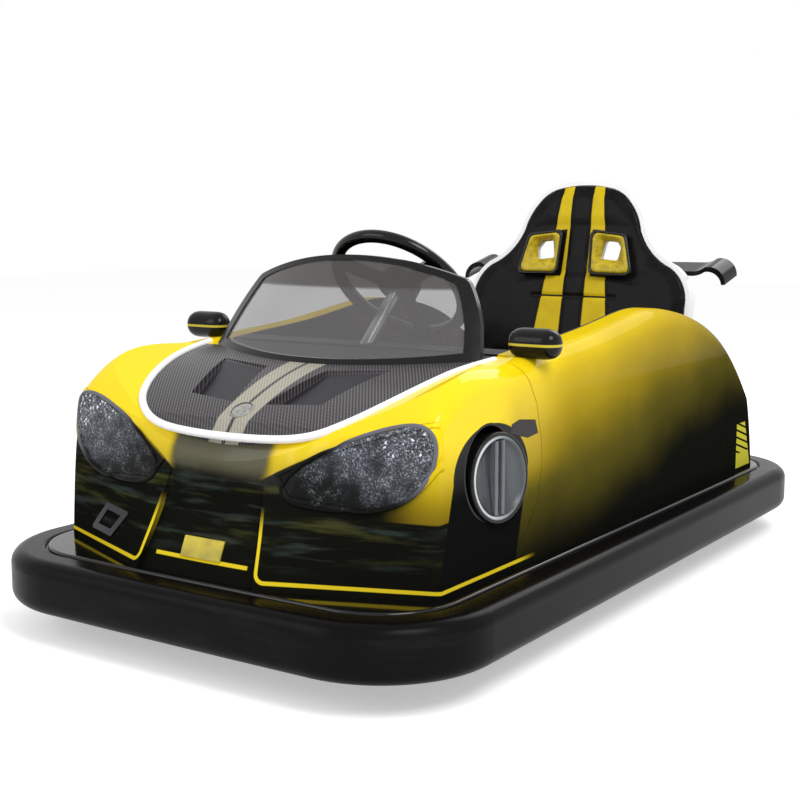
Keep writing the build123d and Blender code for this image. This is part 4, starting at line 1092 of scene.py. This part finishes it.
# %% Badge
BADGE_X = 0.748
bonnet = nodes["bonnet"]
hit, spot, lie, face = bonnet.ray_cast(Vector((BADGE_X, 0.0, 1.0)), Vector((0, 0, -1)))
BADGE = ((0.0240, -0.004), (0.0240, 0.0012), (0.0232, 0.0022), (0.0216, 0.0022),
         (0.0206, 0.0008), (0.0190, 0.0008), (0.0120, 0.0019), (0, 0.0024))
badge = turned("badge", BADGE, spot, lie, 64)
enamel = Finish("badge_grey", roughness=0.3, shine=0.5)
x, y, z = enamel.place()
off = (x - spot.x) * (x - spot.x) * (1 / max(lie.z, 0.1) ** 2) + y * y
far = enamel.maths("SQRT", off)
wear = enamel.noise(160.0, detail=4.0)
grey = enamel.blend(wear.ramp(0.35, 0.65), tint(128, 128, 124), tint(166, 166, 160))
enamel.feed("Base Color", enamel.blend(far.within(0.0196, 0.0212, 0.0004), grey, tint(40, 40, 40)))
enamel.feed("Roughness", wear * 0.3 + 0.2)
enamel.relief(wear, 0.0004, 0.6)
fit_out(badge, enamel)
print("badge at", [round(v, 3) for v in spot], "facing", [round(v, 2) for v in lie])

# %% [markdown]
# ## Lamp rims
# A flat grey bead runs round each lamp. It follows the same outline as the glitter, drawn
# as a smooth closed curve and dropped straight back onto the nose, so it lies on the
# curved surface wherever that is. Towards the bottom it is sprayed black with the nose.


# %% A bead on a surface
def smooth_curve(name, corners, resolution):
    """A smooth curve near the corners, as curve data and its one spline."""
    data = bpy.data.curves.new(name, "CURVE")
    data.dimensions = "3D"
    line = data.splines.new("NURBS")
    line.points.add(len(corners) - 1)
    for point, corner in zip(line.points, corners):
        point.co = (*corner, 1.0)
    line.order_u = 3
    line.resolution_u = resolution
    return data, line


def as_mesh(data):
    """The mesh of a curve."""
    guide = bpy.data.objects.new(data.name, data)
    mesh = bpy.data.meshes.new_from_object(guide)
    bpy.data.objects.remove(guide)
    return mesh


def smooth_loop(corners, count):
    """Evenly spaced points on a smooth closed curve near flat corners."""
    data, line = smooth_curve("guide", [(*corner, 0.0) for corner in corners], 12)
    line.use_cyclic_u = True
    return even_loop([vertex.co.xy for vertex in as_mesh(data).vertices], count)


MISS_REACH = 0.45


def land(place, way, names):
    """Where a ray first meets one of the nodes, or the last one's nearest point, and the
    surface's normal there."""
    best = None
    for name in names:
        hit, spot, normal, face = nodes[name].ray_cast(place, way)
        if hit and (best is None or (spot - place).length < (best[0] - place).length):
            best = (spot, normal)
    if best is None:
        near = place + way * MISS_REACH
        found, spot, normal, face = nodes[names[-1]].closest_point_on_mesh(near)
        best = (spot, normal)
    return best


def bead(name, spots, normals, half_width, height, sides=12):
    """A closed bead of oval section through the spots."""
    count = len(spots)
    loops = []
    for number in range(sides + 1):
        angle = 2 * math.pi * number / sides
        loop = []
        for index in range(count):
            along = (spots[(index + 1) % count] - spots[index - 1]).normalized()
            across = normals[index].cross(along).normalized()
            offset = across * (half_width * math.cos(angle))
            offset += normals[index] * (height * math.sin(angle))
            loop.append(spots[index] + offset)
        loops.append(loop)
    return lofted(name, loops)


print("beads can be laid on the packed surfaces")

# %% Two rims
RIM_POINTS = 140
RIM_HALF, RIM_HEIGHT, RIM_OUT = 0.0040, 0.0032, 0.0006
RELAX_SWEEPS = 6
NOSE_FRONT = 1.2
bead_grey = Finish("lamp_rim", roughness=0.3, shine=0.04)
x, y, z = bead_grey.place()
lifted = (z + abs(y) * 0.55).ramp(0.53, 0.62)
bead_grey.feed("Base Color", bead_grey.blend(lifted, tint(16, 17, 15), tint(108, 108, 118)))
bead_grey.feed("Roughness", bead_grey.noise(40.0) * 0.2 + 0.2)
bead_grey.relief(bead_grey.noise(500.0), 0.0001, 0.4)
BACKWARDS = Vector((-1, 0, 0))
for hand, word in ((1, "left"), (-1, "right")):
    spots, normals = [], []
    surfaces = ("front_shell", "headlamp_rims", "headlamp_" + word)
    for point in smooth_loop(LAMP_OUTLINE, RIM_POINTS):
        spot, normal = land(Vector((NOSE_FRONT, hand * point.x, point.y)), BACKWARDS, surfaces)
        spots.append(spot)
        normals.append(normal)
    after = [(n + 1) % RIM_POINTS for n in range(RIM_POINTS)]
    for sweep in range(RELAX_SWEEPS):
        spots = [(spots[n - 1] + spots[n] * 2 + spots[after[n]]) / 4 for n in range(RIM_POINTS)]
        normals = [(normals[n - 1] + normals[n] + normals[after[n]]).normalized()
                   for n in range(RIM_POINTS)]
    spots = [spot + normal * RIM_OUT for spot, normal in zip(spots, normals)]
    rim = bead("lamp_rim_" + word, spots, normals, RIM_HALF, RIM_HEIGHT)
    fit_out(rim, bead_grey)
print("rims of", RIM_POINTS, "steps")

# %% [markdown]
# ## Wheel discs
# Each disc is turned from one profile: a black lip, a bright edge and a dished face. Two
# upright bars cross it. It looks a little forward, as the fender does, and hides the cup.


# %% The disc's finish
DISC_CENTRE = (0.570, 0.457, 0.353)
DISC_TURN = math.radians(8.0)
DISC_LEAN = 0.05
DISC_SCALE = 0.93
BAR_OFFSET, BAR_HALF, BAR_LONG = 0.0098, 0.0048, 0.0684
FACE_RADIUS, EDGE_RADIUS = 0.0760, 0.0818

disc_finish = Finish("wheel_disc", roughness=0.3, shine=0.25)
x, y, z = disc_finish.place()
off_x = (x - DISC_CENTRE[0]) * (1 / math.cos(DISC_TURN))
off_z = z - DISC_CENTRE[2]
away = disc_finish.maths("SQRT", off_x * off_x + off_z * off_z) * (1 / DISC_SCALE)
brushed = disc_finish.noise(1.0, detail=4.0, stretch=(160.0, 8.0, 14.0))
dished = disc_finish.blend(brushed.ramp(0.35, 0.7), tint(38, 41, 42), tint(66, 70, 74))
# Painted light: the rear of the dished face is painted lighter, where its wall faces the light.
dished = disc_finish.blend(off_x.ramp(-0.01, -0.05), dished, tint(84, 89, 92))
bar_paint = disc_finish.blend(brushed, tint(84, 87, 92), tint(118, 121, 127))
bar_mask = abs(abs(off_x) - BAR_OFFSET).ramp(BAR_HALF + 0.0004, BAR_HALF)
bar_mask = bar_mask * away.ramp(FACE_RADIUS, FACE_RADIUS - 0.0005)
dished = disc_finish.blend(bar_mask, dished, bar_paint)
# Painted highlight: the bright edge is painted brighter towards the front and darker towards the
# rear.
edge_with_painted_highlight = disc_finish.blend(off_x.ramp(-0.05, 0.06), tint(96, 100, 102), tint(204, 209, 210))
dished = disc_finish.blend(away.ramp(FACE_RADIUS, FACE_RADIUS + 0.0004), dished, edge_with_painted_highlight)
lipped = disc_finish.blend(away.ramp(EDGE_RADIUS, EDGE_RADIUS + 0.0006), dished, tint(17, 18, 18))
disc_finish.feed("Base Color", lipped)
disc_finish.feed("Roughness", brushed * 0.2 + 0.2)
disc_finish.relief(brushed, 0.0002, 0.5)
print("disc finish: dished face, bars, bright edge and black lip")

# %% Discs with bars
DISC = ((0.0900, -0.0160), (0.0900, 0.0000), (0.0885, 0.0022), (0.0845, 0.0028),
        (0.0825, 0.0010), (0.0815, 0.0024), (0.0795, 0.0034), (0.0770, 0.0026),
        (0.0755, -0.0030), (0.0600, -0.0062), (0.0300, -0.0078), (0, -0.0082))
BAR = ((-BAR_HALF, -0.008), (-BAR_HALF, 0.0005), (-BAR_HALF * 0.6, 0.002),
       (BAR_HALF * 0.6, 0.002), (BAR_HALF, 0.0005), (BAR_HALF, -0.008))
BAR_ENDS = ((-BAR_LONG, 0.0), (-BAR_LONG, 1.0), (BAR_LONG, 1.0), (BAR_LONG, 0.0))
UPRIGHT = Vector((0, 0, 1))
profile = [(radius * DISC_SCALE, out) for radius, out in DISC]
for hand, word in ((1, "left"), (-1, "right")):
    axis = Vector((math.sin(DISC_TURN), hand * math.cos(DISC_TURN), DISC_LEAN)).normalized()
    centre = Vector((DISC_CENTRE[0], hand * DISC_CENTRE[1], DISC_CENTRE[2]))
    disc = turned("wheel_disc_" + word, profile, centre, axis, 96)
    fit_out(disc, disc_finish)
    along = Vector((-axis.y, axis.x, 0)) * hand
    for number, shift in enumerate((-BAR_OFFSET, BAR_OFFSET)):
        section = [centre + along * (shift + across) + axis * out for across, out in BAR]
        middle = sum(section, Vector()) / len(section)
        loops = []
        for rise, pinch in BAR_ENDS:
            loops.append([middle.lerp(point, pinch) + UPRIGHT * rise for point in section])
        bar = lofted("disc_bar_" + word + "_" + str(number + 1), loops)
        shade(bar, smooth=False)
        fit_out(bar, disc_finish)
print("two discs with two bars each")

# %% [markdown]
# ## White piping
# The welt round the bonnet is a soft white extrusion that can't turn a sharp corner. It is
# drawn as one smooth curve through the bonnet's corners and given a round section.

# %% Smooth piping
WELT_RADIUS = 0.0078
WELT_HALF = ((0.432, 0.364, 0.549), (0.520, 0.347, 0.540), (0.605, 0.331, 0.521),
             (0.690, 0.301, 0.492), (0.755, 0.259, 0.461), (0.793, 0.190, 0.4295),
             (0.812, 0.080, 0.4215))
route = list(WELT_HALF) + [(px, -py, pz) for px, py, pz in reversed(WELT_HALF)]
data, line = smooth_curve("welt_guide", route, 14)
data.bevel_depth = WELT_RADIUS
data.bevel_resolution = 5
data.use_fill_caps = True
line.use_endpoint_u = True
welt = bpy.data.objects.new("piping", as_mesh(data))
bpy.context.collection.objects.link(welt)
shade(welt)
welt_white = Finish("piping_white", colour=tint(250, 250, 251), shine=0.35)
welt_white.feed("Roughness", welt_white.noise(40.0) * 0.14 + 0.2)
welt_white.relief(welt_white.noise(300.0), 0.0001, 0.3)
welt.data.materials.clear()
fit_out(welt, welt_white)
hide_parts("bonnet_piping")
print("piping of", len(welt.data.vertices), "points")

# %% [markdown]
# ## Mirror shells
# The mirror housings are blown shells as smooth as a pebble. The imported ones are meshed
# evenly, relaxed until every edge has gone, and brought back to the size they had.

# %% Relaxed shells
RELAX_STEPS = 160
for word in ("left", "right"):
    node = nodes["mirror_" + word]
    low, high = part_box("mirror_" + word)
    pebble = bpy.data.objects.new("mirror_shell_" + word, node.data.copy())
    bpy.context.collection.objects.link(pebble)
    even = pebble.modifiers.new("even", "REMESH")
    even.mode = "VOXEL"
    even.voxel_size = 0.0022
    relax = pebble.modifiers.new("relax", "SMOOTH")
    relax.factor = 0.5
    relax.iterations = RELAX_STEPS
    settled(pebble)
    points = [vertex.co for vertex in pebble.data.vertices]
    least = Vector([min(point[k] for point in points) for k in range(3)])
    most = Vector([max(point[k] for point in points) for k in range(3)])
    for point in points:
        for k in range(3):
            share = (point[k] - least[k]) / (most[k] - least[k])
            point[k] = low[k] + share * (high[k] - low[k])
    shade(pebble)
    pebble.data.materials.clear()
    fit_out(pebble, shell)
    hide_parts("mirror_" + word)
print("two mirror shells of", len(points), "points")

# %% [markdown]
# ## Mirror glass, tail-lamp bezels and wheel nuts
# The mirrors carry a silvered pane with a bevelled edge towards the seat. It is lofted from
# one rounded outline that shrinks as it steps back.

# %% Mirror panes
silver = Finish("mirror_silver", colour=tint(214, 218, 222), metallic=1.0)
silver.feed("Roughness", silver.noise(30.0) * 0.05 + 0.02)
PANE_HALF = (0.046, 0.022)
PANE_STEPS = ((1.0, 0.001), (1.0, -0.0008), (0.96, -0.0014), (0.5, -0.0014), (0.02, -0.0014))
wide, tall = PANE_HALF
pane_corners = ((-wide, -tall), (wide, -tall), (wide, tall), (-wide, tall))
pane_loop = even_loop(rounded(pane_corners, tall * 0.99, 10), 64)
for hand, word in ((1, "left"), (-1, "right")):
    low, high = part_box("mirror_" + word)
    centre = (low + high) / 2
    loops = []
    for share, back in PANE_STEPS:
        loops.append([Vector((low.x + back, centre.y + point.x * share,
                              centre.z + point.y * share)) for point in pane_loop])
    pane = lofted("mirror_pane_" + word, loops)
    fit_out(pane, silver)
print("two panes", wide * 2000, "by", tall * 2000, "mm")

# %% [markdown]
# A plated ring holds each tail lamp. It is turned, and stands square to the tail beside it,
# as a ray from behind finds it.

# %% Tail-lamp bezels
plated = Finish("plated_steel", colour=tint(188, 188, 186), metallic=1.0)
plated.feed("Roughness", plated.noise(200.0) * 0.2 + 0.15)
BEZEL = ((0.0400, -0.004), (0.0400, 0.0010), (0.0388, 0.0028), (0.0366, 0.0030),
         (0.0345, 0.0012), (0.0342, -0.004))
LAMP_SIDE, LAMP_HEIGHT, LAMP_REACH = 0.300, 0.300, 0.038
TAIL_END = -1.2
FORWARDS = Vector((1, 0, 0))
for hand, word in ((1, "left"), (-1, "right")):
    beside = Vector((TAIL_END, hand * (LAMP_SIDE + LAMP_REACH), LAMP_HEIGHT))
    shell_spot, normal = land(beside, FORWARDS, ("tail_shell",))
    behind = Vector((TAIL_END, hand * LAMP_SIDE, LAMP_HEIGHT))
    spot, lens_normal = land(behind, FORWARDS, ("tail_shell", "tail_lamps"))
    bezel = turned("lamp_bezel_" + word, BEZEL, spot, normal, 64)
    fit_out(bezel, plated)
print("bezels at", [round(v, 3) for v in spot])

# %% [markdown]
# Five hexagon nuts hold each rim. They ride on the wheel, so they turn with it.

# %% Wheel nuts
NUT = ((0.0080, -0.001), (0.0080, 0.006), (0.0066, 0.0072), (0, 0.0074))
NUTS = 5
NUT_CIRCLE = 0.034
NUT_START = 0.3
RIMS = (("rear_rim_left", "rear_wheel_left", 1), ("rear_rim_right", "rear_wheel_right", -1),
        ("drive_rim", "drive_wheel", -1))
for node, body, hand in RIMS:
    low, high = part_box(node)
    centre = (low + high) / 2
    for number in range(NUTS):
        angle = 2 * math.pi * number / NUTS
        start = centre + Vector((NUT_CIRCLE * math.cos(angle), hand * NUT_START,
                                 NUT_CIRCLE * math.sin(angle)))
        spot, normal = land(start, Vector((0, -hand, 0)), (node,))
        nut = turned(f"nut_{node}_{number + 1}", NUT, spot, (0, hand, 0), 6)
        fit_out(nut, plated, body)
print(NUTS, "nuts on each of", len(RIMS), "rims")
